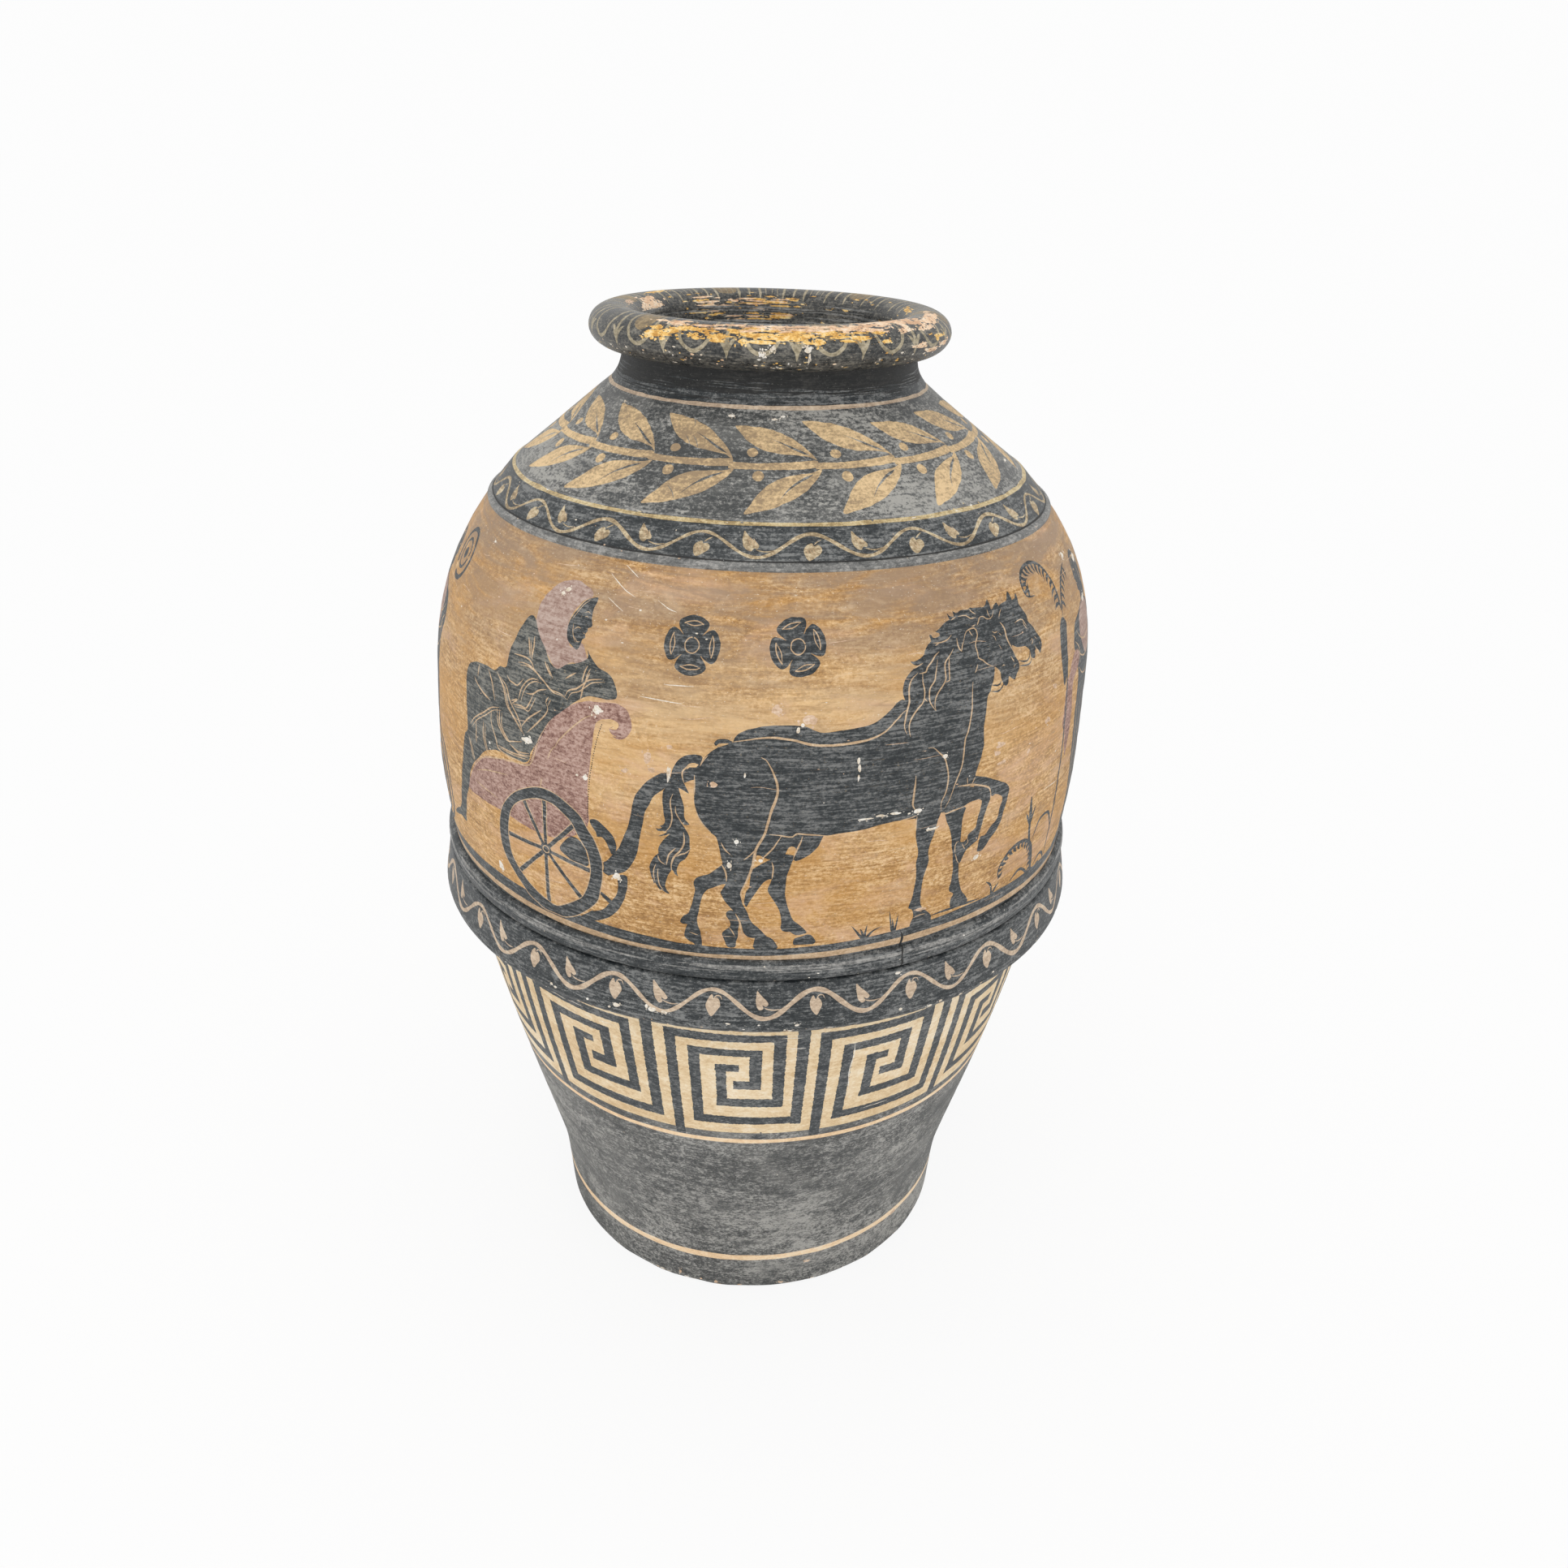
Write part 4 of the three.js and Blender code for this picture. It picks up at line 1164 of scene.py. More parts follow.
FAR_LEGS = (
    ((182, 165.5), (182.5, 157), (186, 149.5), (189, 142.5), (191.5, 132.5), (192.5, 125), (194.5, 118),
     (195.5, 109), (197, 101.5), (197.5, 93.5), (197, 84.5), (196, 78), (197.5, 73), (202.5, 69),
     (200, 62.5), (202, 52.5), (211.5, 52.5), (224, 52.5), (220, 60.5), (213.5, 68.5), (210, 76),
     (206.5, 86.5), (205, 95), (204, 102), (203.5, 116.5), (202.5, 129), (202.5, 135.5), (202.5, 144),
     (202.5, 152), (203.5, 158), (204, 165)),
    ((211.5, 194), (222, 191.5), (230.5, 188.5), (239, 184), (248, 179.5), (258, 174), (262.5, 169.5),
     (264, 165.5), (263, 160.5), (262, 155.5), (260.5, 148.5), (258, 141.5), (256.5, 134.5),
     (253.5, 129.5), (250.5, 125), (245.5, 121), (241.5, 118), (239, 114.5), (235.5, 111), (232, 109),
     (226, 110), (226.5, 115), (227, 120.5), (228.5, 126), (233.5, 125.5), (237, 127.5), (239.5, 131),
     (243.5, 134.5), (248, 137), (251, 142.5), (251.5, 148), (253, 153), (254.5, 158), (253, 162),
     (248, 165.5), (242.5, 167.5), (239.5, 166), (228.5, 173.5), (213, 183)),
    ((-4.5, 126), (2, 131), (7.5, 134.5), (12, 136.5), (15, 128), (15, 121), (14, 116.5), (11, 116),
     (6.5, 113), (2.5, 107), (-3.5, 96), (-8, 87), (-9, 85.5), (-10.5, 88.5), (-11, 94), (-9, 103),
     (-6.5, 106.5), (-6, 113), (-5.5, 119)),
    ((11, 143), (13.5, 133), (15, 128), (14.5, 121), (13.5, 116.5), (12.5, 112.5), (10.5, 107),
     (10.5, 103.5), (13, 98), (16, 93.5), (19, 88), (21.5, 82.5), (22.5, 78), (23.5, 72.5), (24, 66.5),
     (23.5, 62), (25.5, 58), (28.5, 57), (32.5, 57), (35.5, 54), (38, 52.5), (43.5, 53), (48.5, 55),
     (44.5, 61), (40.5, 65), (35.5, 70), (32.5, 76), (30, 83.5), (28, 90.5), (26.5, 98), (26.5, 105),
     (27, 114), (28, 121), (30, 127.5), (32, 134.5), (33, 141)),
    ((37.5, 49), (36, 45), (36.5, 41), (40.5, 40.5), (48.5, 40.5), (56.5, 41), (58, 43.5), (56, 47.5),
     (52.5, 52), (49.5, 53), (45, 51.5), (40.5, 50)),
    ((-27.5, 77.5), (-26, 80), (-23, 81.5), (-20.5, 80), (-18.5, 76), (-16, 71), (-15.5, 64),
     (-16.5, 56.5), (-16.5, 50.5), (-18, 45), (-19, 38), (-26, 37.5), (-29, 44), (-31.5, 51.5),
     (-31, 55.5), (-27.5, 59), (-24, 62), (-23.5, 65.5), (-25, 70), (-27, 73)),
)
NEAR_LEGS = (
    ((-32, 138), (-31, 131), (-37, 125), (-44, 119), (-49.5, 117), (-54.5, 114.5), (-57, 111.5),
     (-57.5, 107), (-56.5, 102), (-57.5, 95.5), (-59, 88), (-61, 80.5), (-63.5, 73.5), (-67.5, 70.5),
     (-70.5, 66), (-71.5, 62), (-69, 60.5), (-66, 61), (-64.5, 60.5), (-66, 57), (-67, 53), (-68, 47),
     (-66, 43.5), (-63, 40.5), (-59, 38.5), (-56, 33), (-52, 33.5), (-51, 41.5), (-52, 49.5), (-52.5, 55),
     (-54.5, 60.5), (-55, 66.5), (-54, 74), (-52, 83.5), (-50.5, 91), (-49, 96.5), (-45.5, 101.5),
     (-40, 105), (-35, 107.5), (-31, 109.5), (-26, 112), (-20, 127)),
    ((-29, 135), (-26.5, 119.5), (-27.5, 112.5), (-29, 107.5), (-32, 102.5), (-33, 100.5), (-31, 95.5),
     (-29, 91), (-25, 86), (-21.5, 81.5), (-18.5, 77), (-15.5, 71.5), (-13.5, 66), (-12.5, 60.5),
     (-11.5, 56), (-7.5, 51), (-3.5, 49.5), (-0.5, 49.5), (-1, 45.5), (-0.5, 36.5), (20.5, 36.5),
     (19, 44.5), (15, 49.5), (10.5, 52), (6, 58), (1.5, 63), (-2.5, 66.5), (-5.5, 72), (-7.5, 78.5),
     (-10, 84), (-12.5, 88.5), (-14, 95.5), (-14.5, 101), (-12.5, 107.5), (-9.5, 113.5), (-7, 122.5),
     (-4.5, 128.5), (-2, 143)),
    ((150, 169), (150, 159), (150, 150.5), (151, 142.5), (153.5, 133), (154, 125.5), (153, 117),
     (154, 109), (154.5, 101), (154, 92), (153.5, 84.5), (152.5, 76.5), (150.5, 70), (150, 67),
     (154.5, 64), (156, 60.5), (157, 54.5), (155, 47), (157.5, 40.5), (179.5, 40.5), (179.5, 45.5),
     (178, 51.5), (171.5, 58.5), (166.5, 63), (163.5, 69.5), (162.5, 78), (162.5, 88.5), (162.5, 96.5),
     (164, 104), (165.5, 110), (167, 117.5), (165.5, 125.5), (166.5, 132.5), (167.5, 137), (170, 144),
     (171.5, 151), (173, 158.5), (174, 167.5)),
    ((192, 195), (202.5, 187.5), (217, 182), (227.5, 179), (232.5, 175.5), (235.5, 169), (236.5, 163.5),
     (234.5, 159), (232.5, 153), (230.5, 146), (229, 139), (227.5, 133.5), (226, 128.5), (225, 123.5),
     (220.5, 121), (215.5, 118.5), (211.5, 116.5), (208.5, 111.5), (206.5, 106.5), (204, 103.5),
     (200, 109.5), (197, 117), (196.5, 125), (197.5, 129), (200.5, 129.5), (204, 127), (208, 127),
     (211, 129.5), (211.5, 133), (216, 135.5), (220.5, 138), (221.5, 143), (222.5, 149.5), (224, 155.5),
     (225, 162), (225, 165.5), (220.5, 168.5), (217, 168.5), (212, 168.5), (207, 167.5), (203.5, 166),
     (197.5, 165.5), (190.5, 164.5), (181, 164), (176.5, 179.5)),
)
HORSE_LINES = (
    (
        2.2,
        ((-24, 250), (-16, 251.5), (1, 254.5), (12.5, 255), (22, 254), (31.5, 252.5), (46, 248.5),
         (63.5, 247), (83, 248), (99.5, 250), (113, 255), (123.5, 263.5), (131, 270.5), (136.5, 273)),
    ),
    (1.2, ((130, 268.5), (125.5, 265), (121, 262.5))),
    (
        2.4,
        ((2, 237), (6.5, 234.5), (10.5, 228), (13.5, 221), (16.5, 212), (17, 204.5), (15.5, 196.5),
         (12.5, 188.5), (10.5, 180.5), (8.5, 171.5), (6.5, 163), (2.5, 155), (-1, 147.5), (-2.5, 138),
         (-5.5, 124), (-10.5, 110), (-14, 99.5), (-11, 88.5)),
    ),
    (
        1.5,
        ((10.5, 163), (21.5, 161.5), (28, 160), (31.5, 160), (35, 163), (41, 162.5), (52.5, 161),
         (63.5, 159.5)),
    ),
    (1.5, ((21.5, 161), (18, 155), (14.5, 149), (9, 142.5), (2.5, 135.5))),
    (1.6, ((40.5, 160.5), (39, 154.5), (35.5, 146), (32.5, 137))),
    (1.3, ((-32.5, 153), (-29, 146), (-24, 141))), (1.3, ((-12, 136), (-6.5, 141), (-1.5, 147))),
    (1.5, ((-32, 130.5), (-29, 124.5), (-27.5, 118), (-27.5, 112.5))),
    (1.4, ((13.5, 134.5), (15, 128), (14.5, 121), (14, 116.5))),
    (1.3, ((-63, 52), (-59.5, 50.5), (-54.5, 49))), (1.3, ((-25, 61.5), (-22, 57), (-19.5, 51.5))),
    (1.5, ((-19, 77), (-15, 68), (-13.5, 58.5), (-12, 51))), (1.2, ((36.5, 51), (42.5, 52.5), (48.5, 54))),
    (1.3, ((-56.5, 217.5), (-56.5, 209.5), (-56.5, 198))),
    (1.2, ((-55.5, 184.5), (-52.5, 176), (-48, 169), (-41.5, 162.5))),
    (1.3, ((-52, 226), (-49.5, 231), (-45, 236.5))),
    (
        1.6,
        ((157, 234), (163, 233), (169, 227.5), (175, 221.5), (177.5, 215), (179.5, 208.5), (181, 201),
         (180.5, 192), (179, 185), (176, 178.5), (175, 173.5), (176, 168)),
    ),
    (
        1.7,
        ((208.5, 286.5), (206.5, 273), (206, 264.5), (204.5, 255), (201.5, 243.5), (198, 234.5),
         (197, 221), (196, 211), (194, 203.5), (191, 196), (188.5, 190), (186, 182.5), (183.5, 175.5),
         (179.5, 169.5)),
    ),
    (1.9, ((145.5, 209.5), (145.5, 201), (145, 193), (144.5, 186), (144.5, 180), (147.5, 174))),
    (1.7, ((176, 166), (181, 163.5), (190.5, 164.5), (202.5, 165.5))),
    (
        2.0,
        ((192.5, 189), (202.5, 187.5), (210, 186.5), (220.5, 183), (229, 179.5), (233.5, 176.5),
         (236, 171.5), (237, 165.5)),
    ),
    (1.1, ((213.5, 193.5), (210, 187))), (1.0, ((203.5, 195.5), (204.5, 188.5))),
    (1.2, ((197.5, 117.5), (196.5, 125), (198, 128.5), (201, 129))),
    (1.1, ((197.5, 116.5), (201, 108), (204, 103.5))), (1.1, ((211, 129.5), (212.5, 124.5), (209, 122))),
    (1.0, ((205, 125), (209.5, 118))), (1.2, ((157.5, 53.5), (163.5, 55.5), (171, 55))),
    (1.1, ((150, 167.5), (149.5, 161), (150, 152.5))), (1.1, ((149.5, 168.5), (142, 167), (133, 166.5))),
    (
        1.6,
        ((148.5, 303.5), (142, 299), (138.5, 292), (138, 285), (138, 279), (135.5, 272), (134, 266.5),
         (132.5, 259.5), (133, 254.5), (135, 250.5)),
    ),
    (1.4, ((174, 319.5), (168.5, 316), (165, 312), (159, 307), (157, 303.5), (150, 303))),
    (
        1.5,
        ((153.5, 303), (153, 295.5), (154, 288), (153.5, 281), (151, 276), (146.5, 272.5), (141.5, 267),
         (138, 261), (137, 255), (138.5, 247.5)),
    ),
    (
        1.3,
        ((171, 312.5), (169, 305.5), (167, 299.5), (165.5, 294.5), (161, 290), (159, 285.5), (159, 277),
         (162, 271.5), (165, 267.5)),
    ),
    (
        1.5,
        ((190.5, 320), (184.5, 313.5), (179, 308.5), (178, 301.5), (178, 295), (175, 290), (169, 284),
         (165.5, 279), (164, 273), (165, 267.5)),
    ),
    (1.3, ((184.5, 313.5), (183, 306.5), (182.5, 300.5), (181.5, 292.5), (176.5, 292))),
    (1.0, ((153, 281), (156.5, 277))),
    (
        1.4,
        ((204, 324.5), (206, 328.5), (209.5, 332.5), (213, 333.5), (216, 334), (219.5, 334),
         (221.5, 332), (222, 327), (219, 322.5), (217, 318), (218.5, 311), (218.5, 306.5),
         (223.5, 303.5), (228, 299.5), (236, 295)),
    ),
    (1.1, ((212.5, 333.5), (214, 330), (216, 327))), (1.1, ((224, 335.5), (227, 338.5), (230, 342))),
    (1.0, ((217, 335.5), (222.5, 336.5))),
    (1.3, ((196.5, 328.5), (196, 323), (197.5, 318), (199.5, 316), (201, 320.5), (204, 324.5))),
    (1.0, ((216.5, 301), (214.5, 297), (212, 294))),
    (
        1.1,
        ((227, 340.5), (231.5, 342.5), (235, 342), (238, 339.5), (243, 338.5), (246.5, 340), (250.5, 345)),
    ),
    (0.9, ((242, 347.5), (242, 343.5), (243.5, 339.5))),
    (1.0, ((262, 344.5), (258.5, 341.5), (255.5, 337.5))),
    (
        1.7,
        ((255, 333), (257.5, 330), (259.5, 325), (259.5, 319), (261, 314), (263.5, 309), (266, 303.5),
         (267.5, 300.5)),
    ),
    (1.0, ((241.5, 326.5), (245, 325), (249, 325.5))),
    (0.9, ((240.5, 323.5), (243.5, 321.5), (244.5, 317.5))), (0.9, ((250.5, 323.5), (253, 321))),
    (0.9, ((247.5, 313), (250.5, 308))), (1.1, ((261.5, 299.5), (265.5, 293.5))),
    (1.0, ((247.5, 293), (250, 294), (252, 293))), (1.0, ((267.5, 290.5), (264.5, 290), (264.5, 287.5))),
    (1.0, ((276.5, 328), (281, 329), (286.5, 329.5), (290, 328), (291.5, 325), (293.5, 321.5))),
    (0.9, ((289, 327), (290, 323), (293.5, 318.5))),
    (1.0, ((295, 306.5), (298.5, 308), (299.5, 305.5), (296, 303))), (0.9, ((303, 309), (306.5, 306))),
    (0.9, ((310, 302.5), (310, 299))), (0.9, ((301, 301), (303.5, 296.5), (306.5, 295))),
    (1.1, ((191, 332), (186.5, 329), (181.5, 327.5), (175.5, 327), (169, 327.5))),
    (1.0, ((175, 326.5), (170.5, 325))), (1.0, ((203, 347), (213, 346.5), (218, 343), (225, 343))),
    (1.0, ((219, 351.5), (221.5, 348.5), (226, 345.5))), (1.0, ((194, 345), (200.5, 347))),
    (1.0, ((155, 311.5), (149.5, 309.5), (145, 308))),
)
GAPS = (
    ((266, 307.5), (268.5, 306), (273, 304.5), (279, 304), (285.5, 303), (289, 300.5), (290.5, 297.5),
     (289, 293), (285, 291), (278, 292), (272.5, 293.5), (270, 297.5), (268.5, 302.5)),
    ((-64, 224.5), (-61, 227.5), (-56.5, 228.5), (-53, 227.5), (-55, 224.5), (-61, 224), (-63.5, 222)),
    ((-37.5, 246), (-35.5, 248), (-31, 248.5), (-26.5, 248.5), (-30, 247), (-35.5, 245)),
)
REINS = (
    (1.5, ((231.5, 279), (239, 277), (242.5, 277.5), (245, 280.5))),
    (1.6, ((229.5, 273.5), (239, 271.5), (243.5, 273), (247, 275.5), (249, 280))),
    (1.5, ((271.5, 293.5), (279.5, 290.5), (286, 290), (290, 293), (291, 298))),
    (1.6, ((272.5, 288), (284.5, 286), (290.5, 287), (293.5, 292))),
)
TAIL = (
    (-69.5, 172.5), (-67.5, 168), (-65, 164), (-62.5, 159.5), (-61, 155.5), (-61, 150.5), (-61, 146),
    (-60.5, 144), (-61.5, 139.5), (-63.5, 135), (-65.5, 132), (-69.5, 129), (-72, 124.5), (-73, 121),
    (-73, 117), (-72, 113.5), (-75, 115.5), (-76.5, 118.5), (-78, 120), (-79, 117.5), (-80.5, 115.5),
    (-82, 112.5), (-83, 108.5), (-84, 104.5), (-84.5, 100), (-83, 96.5), (-80.5, 92.5), (-84, 93.5),
    (-87, 95.5), (-88.5, 97), (-89.5, 95.5), (-92.5, 99.5), (-94.5, 103.5), (-95.5, 101), (-96.5, 106.5),
    (-97.5, 108), (-98, 112), (-99, 116.5), (-99, 121), (-97, 126), (-94.5, 130.5), (-91.5, 134),
    (-90.5, 135), (-90.5, 139), (-89.5, 143), (-86.5, 148), (-82.5, 153), (-79, 157), (-82, 155),
    (-86, 153.5), (-90, 153), (-85.5, 155.5), (-82, 158.5), (-86.5, 158.5), (-90.5, 158), (-93, 160.5),
    (-89.5, 160.5), (-86.5, 162), (-88, 163), (-94, 163.5), (-90, 163), (-86.5, 164.5), (-84, 167.5),
    (-83.5, 170.5), (-84.5, 174.5), (-85.5, 182.5), (-86, 189), (-85.5, 196), (-84.5, 200), (-81, 204.5),
    (-78.5, 209.5), (-77.5, 216.5), (-75.5, 223), (-72, 229), (-66, 234), (-60, 236), (-54, 236.5),
    (-49.5, 234.5), (-52, 227.5), (-54, 221.5), (-55.5, 213), (-59, 212), (-63.5, 210), (-66, 208.5),
    (-64.5, 205.5), (-61.5, 199), (-66, 201.5), (-69.5, 203), (-71, 203.5), (-69.5, 198), (-67.5, 191.5),
    (-66, 185), (-66, 178.5), (-65, 173), (-61, 168.5), (-66, 167.5), (-68, 170),
)
TAIL_LINES = (
    (
        1.7,
        ((-66.5, 160), (-66, 155.5), (-66, 150), (-67.5, 144.5), (-71, 139), (-75.5, 133.5),
         (-77.5, 128.5), (-78.5, 123.5), (-78, 119)),
    ),
    (1.4, ((-60.5, 143.5), (-62.5, 141), (-65, 138.5), (-69, 137), (-73.5, 134))),
    (1.4, ((-74, 143), (-77.5, 139), (-80.5, 135), (-82, 130), (-83, 124))),
    (1.3, ((-91, 133), (-90, 128.5), (-87, 125.5), (-84, 124))),
    (1.1, ((-93, 123.5), (-95, 117.5), (-95.5, 110.5), (-94.5, 104.5))),
    (1.1, ((-91, 119), (-91.5, 113), (-91, 107.5), (-90, 101.5), (-86.5, 96))),
    (1.3, ((-76, 197), (-78.5, 190), (-78, 182), (-77, 174), (-78.5, 165.5), (-81, 161), (-84, 158))),
    (1.1, ((-74, 185.5), (-73.5, 178.5), (-70, 172.5), (-68, 168.5), (-65.5, 167))),
    (1.4, ((-66, 208.5), (-67.5, 214), (-67.5, 219.5), (-65, 222.5), (-61, 226), (-53.5, 227.5))),
)
LEAF_MASS = (
    (358, 305), (366, 312), (375, 305), (372, 295), (369, 280), (368, 265), (364, 252), (358, 244),
    (353, 262), (352, 280), (354, 295),
)
GARMENT = (
    (363, 243), (372, 250), (380, 262), (395, 270), (408, 262), (402, 250), (392, 245), (385, 240),
    (384, 225), (388, 205), (388, 190), (384, 170), (380, 160), (375, 172), (370, 190), (362, 200),
    (362, 220),
)
STANDING = (
    (-46, 283), (-38, 296), (-18, 302), (7, 308), (32, 305), (52, 290), (59, 265), (54, 230), (58, 190),
    (62, 140), (66, 90), (62, 56), (-12, 54), (-16, 90), (-24, 130), (-30, 170), (-34, 210), (-34, 240),
    (-40, 262), (-47, 272),
)
STANDING_HEAD = (
    (9, 306), (8, 317), (2, 320), (3.5, 324), (2, 327), (3, 330), (-1, 333), (2, 339), (4, 348), (12, 356),
    (24, 359), (36, 354), (43, 344), (43, 330), (38, 317), (36, 306),
)
STANDING_FEET = (
    ((-10, 58), (-24, 50), (-34, 45), (-34, 41), (0, 41), (6, 58)),
    ((34, 58), (24, 50), (14, 45), (14, 41), (54, 41), (60, 58)),
)
STANDING_LINES = (
    ((-36, 288), (-20, 276), (0, 270), (22, 272), (44, 284)),
    ((-38, 270), (-22, 258), (0, 252), (26, 256), (52, 268)),
    ((-32, 248), (-14, 236), (10, 232), (36, 240), (54, 250)),
    ((-26, 220), (-20, 170), (-12, 110), (-8, 62)), ((-10, 226), (-4, 170), (4, 110), (8, 60)),
    ((8, 226), (14, 170), (22, 110), (25, 60)), ((26, 228), (31, 170), (38, 110), (42, 60)),
    ((44, 236), (46, 180), (52, 120), (56, 62)), ((-14, 70), (60, 68)), ((-14, 76), (60, 74)),
    ((8, 346), (18, 352), (32, 350), (40, 340)), ((14, 338), (10, 341), (6, 339.5)),
    ((36, 318), (30, 328), (28, 338)), ((4, 327), (8, 326)), ((-42, 278), (-30, 268), (-26, 250)),
)
LOBE = (
    (5, -44), (13, -44), (20, -42), (24.6, -37), (26.2, -28), (26.8, -12), (27, 0), (26.8, 12), (26.2, 28),
    (24.6, 37), (20, 42), (13, 44), (5, 44),
)
CURL_GAP = (
    (-134, 251.5), (-141, 246.5), (-139, 242.5), (-129, 242.5), (-125, 248.5), (-129, 256.5), (-137, 257.5),
)
CURL = (
    (-145, 256), (-136, 262), (-126, 262), (-120, 254), (-124, 243), (-134, 243), (-138, 248), (-131, 249),
    (-129, 254), (-136, 257),
)
CAR_STITCHES = (
    ((-146, 250.5), (-148, 244.5), (-150.5, 235.5), (-153, 224.5), (-155, 213), (-157.5, 200),
     (-160, 176), (-162, 152)),
    ((-208.5, 233), (-214.5, 221.5), (-221, 213.5), (-224.5, 205), (-230, 193)),
)
LOBE_CHORD = ((20.2, -0.42), (16.8, 0), (20.2, 0.42))
STANDING_SHAWL = ((-14, 300), (6, 306), (30, 303), (44, 284), (30, 262), (10, 250), (-10, 262), (-22, 284))
SHIELD = (
    (54, "figure"), (49, "ochre"), (43, "figure"), (39, "tan"), (37, "figure"), (30, "ochre"),
    (25, "figure"), (9, "tan"), (6, "figure"),
)
TRUNK = ((368, 40), (367, 100), (369, 170), (366, 220), (366, 262), (368, 300), (371, 318))
CROWN_LEFT = (
    (368, 318), (369, 335), (366, 350), (358, 365), (345, 374), (330, 376), (315, 372), (306, 362),
    (306, 350), (312, 346), (322, 345),
)
CROWN_RIGHT = ((370, 318), (378, 332), (390, 345), (405, 353), (417, 357))
FERN = ((335, 42), (325, 75), (312, 90), (295, 95), (280, 92), (268, 82), (265, 72), (268, 62))
BUD = ((310, 110), (306, 122), (305, 136), (307, 143), (309, 134), (312, 122))
SHOOTS = (
    ((322, 88), (330, 105), (340, 109), (352, 107), (360, 97), (366, 84)),
    ((290, 50), (305, 58), (318, 52), (330, 40)), ((338, 48), (350, 57), (360, 54), (368, 44)),
    ((326, 40), (336, 46), (340, 38)), ((344, 40), (352, 46), (358, 40)),
)

# Grass tufts: where the blades stand, and where each one's tip is
TUFTS = (
    (106, ((92, 57), (101, 52), (108, 56), (124, 51))), (138, ((130, 68), (140, 62), (134, 58))),
    (-306, ((-322, 46), (-303, 53), (-312, 50))), (-287, ((-276, 46), (-280, 44))),
    (-373, ((-366, 44), (-378, 50))), (-352, ((-346, 42), (-356, 48))),
)

# Tall tendrils at the side: stem, width, leaf length, gap between leaves, side that they grow on
TENDRILS = (
    (
        ((556, 42), (553, 100), (557, 170), (551, 240), (557, 300), (545, 335), (528, 350), (512, 345),
         (508, 330)),
        3.0, 11, 10, -1,
    ),
    (((552, 300), (566, 330), (584, 345), (600, 338), (602, 324)), 2.6, 9, 8, 1),
    (((560, 42), (574, 80), (592, 92), (606, 80), (604, 66)), 2.8, 8, 8, -1),
    (((550, 42), (536, 84), (520, 94), (508, 80), (512, 66)), 2.8, 8, 8, 1),
)

CAR_CHIPS = (
    (-152, 263, 5.5, 5), (-162, 197, 3, 3.6), (-172, 197, 2.2, 1.8), (-232, 215, 8, 3.4),
    (-290, 194, 2, 2.2), (-288, 60, 3.5, 6), (-288, 56, 5, 2), (-133, 101, 4.4, 5), (-210, 361, 4, 3),
    (-216, 357, 3, 2), (-290, 188, 1.6, 1),
)
HORSE_CHIPS = (
    (89, 231, 1.6, 3.4), (90, 224, 1.8, 5), (89.5, 215, 1.6, 4), (98, 173, 9, 1.5), (112, 174.5, 7, 1.8),
    (127, 174.6, 7, 1.5), (141, 172, 2, 1.2), (150, 173, 5, 2.6), (168, 150.5, 5.5, 2.0),
    (163, 151, 2, 2.4), (226, 104, 4.2, 3.4), (-25, 130, 3, 3.4), (-18.5, 154.5, 2.8, 2.8),
    (176, 222.5, 2.6, 2.8), (-12, 220, 1.0, 4), (34, 262, 2.4, 3), (38, 266, 2, 2), (3, 136, 3, 2.4),
    (-80, 215, 2.2, 9),
)
FRIEZE_CHIPS = (
    (-80, 215, 2.2, 9), (-365, 376, 3.6, 1.8), (427, 362, 7, 4), (470, 348, 9, 6), (460, 307, 9, 5),
)
FRIEZE_BARE = (
    (245, 218, 9, 3), (240, 211, 6, 3), (322, 220, 5, 3.5), (335, 251, 5, 3), (15, 280, 6, 5),
    (44, 270, 7, 5), (-100, 228, 4, 6), (-80, 241, 3, 2.4), (-122, 212, 5, 3), (-96, 217, 4, 3),
    (-40, 210, 4, 3), (248, 199, 8, 2), (290, 198, 3, 3), (165, 62, 8, 2),
)
FRIEZE_SCRATCHES = (
    ((-105, 366), (-92, 360), (-84, 358)), ((-165, 384), (-145, 372), (-130, 366)),
    ((-160, 362), (-140, 352)), ((-150, 394), (-132, 384)), ((-88, 295), (-60, 296)),
    ((-110, 282), (-70, 280)), ((330, 141), (365, 139)),
)

# The camera fitted to the photograph: focal length and frame in its pixels; yaw, pitch and roll in degrees
SENSOR = 36
FOCAL_PIXELS = 1560
FRAME_PIXELS = 1932
CAMERA_ANGLES = (1.296, 26.877, 1.747)
CAMERA_PLACE = (0, -1.3416, 1.2445)

# The key lamp, in metres and watts
KEY_PLACE = (-0.5, -1.9, 2.6)
KEY_TARGET = (0, 0, 0.75)
KEY_SIZE = (1.6, 1.2)
KEY_POWER = 9
KEY_COLOUR = (1.0, 0.97, 0.93)

# The soft dome, from below to above, and the white behind the jar
DOME_STOPS = ((0.15, (0.93, 0.92, 0.90)), (0.85, (1.0, 1.0, 1.0)))
DOME_STRENGTH = 0.9
BACKDROP_WHITE = 0.979

# The floor: how far it reaches each way and its level in metres, its white, and its share of glow
FLOOR_REACH = 60.0
FLOOR_LEVEL = -0.0005
FLOOR_WHITE = 0.95
FLOOR_GLOW = 0.86


def levels(low, high, step, extra=()):
    """Places along a band for the rows of points between the outlines."""
    count = max(1, int(round((high - low) / step)))
    rows = [low + (high - low) * i / count for i in range(count + 1)]
    rows = [v for v in rows if v in (low, high) or all(abs(v - e) > step * 0.3 for e in extra)]
    return sorted(rows + list(extra))


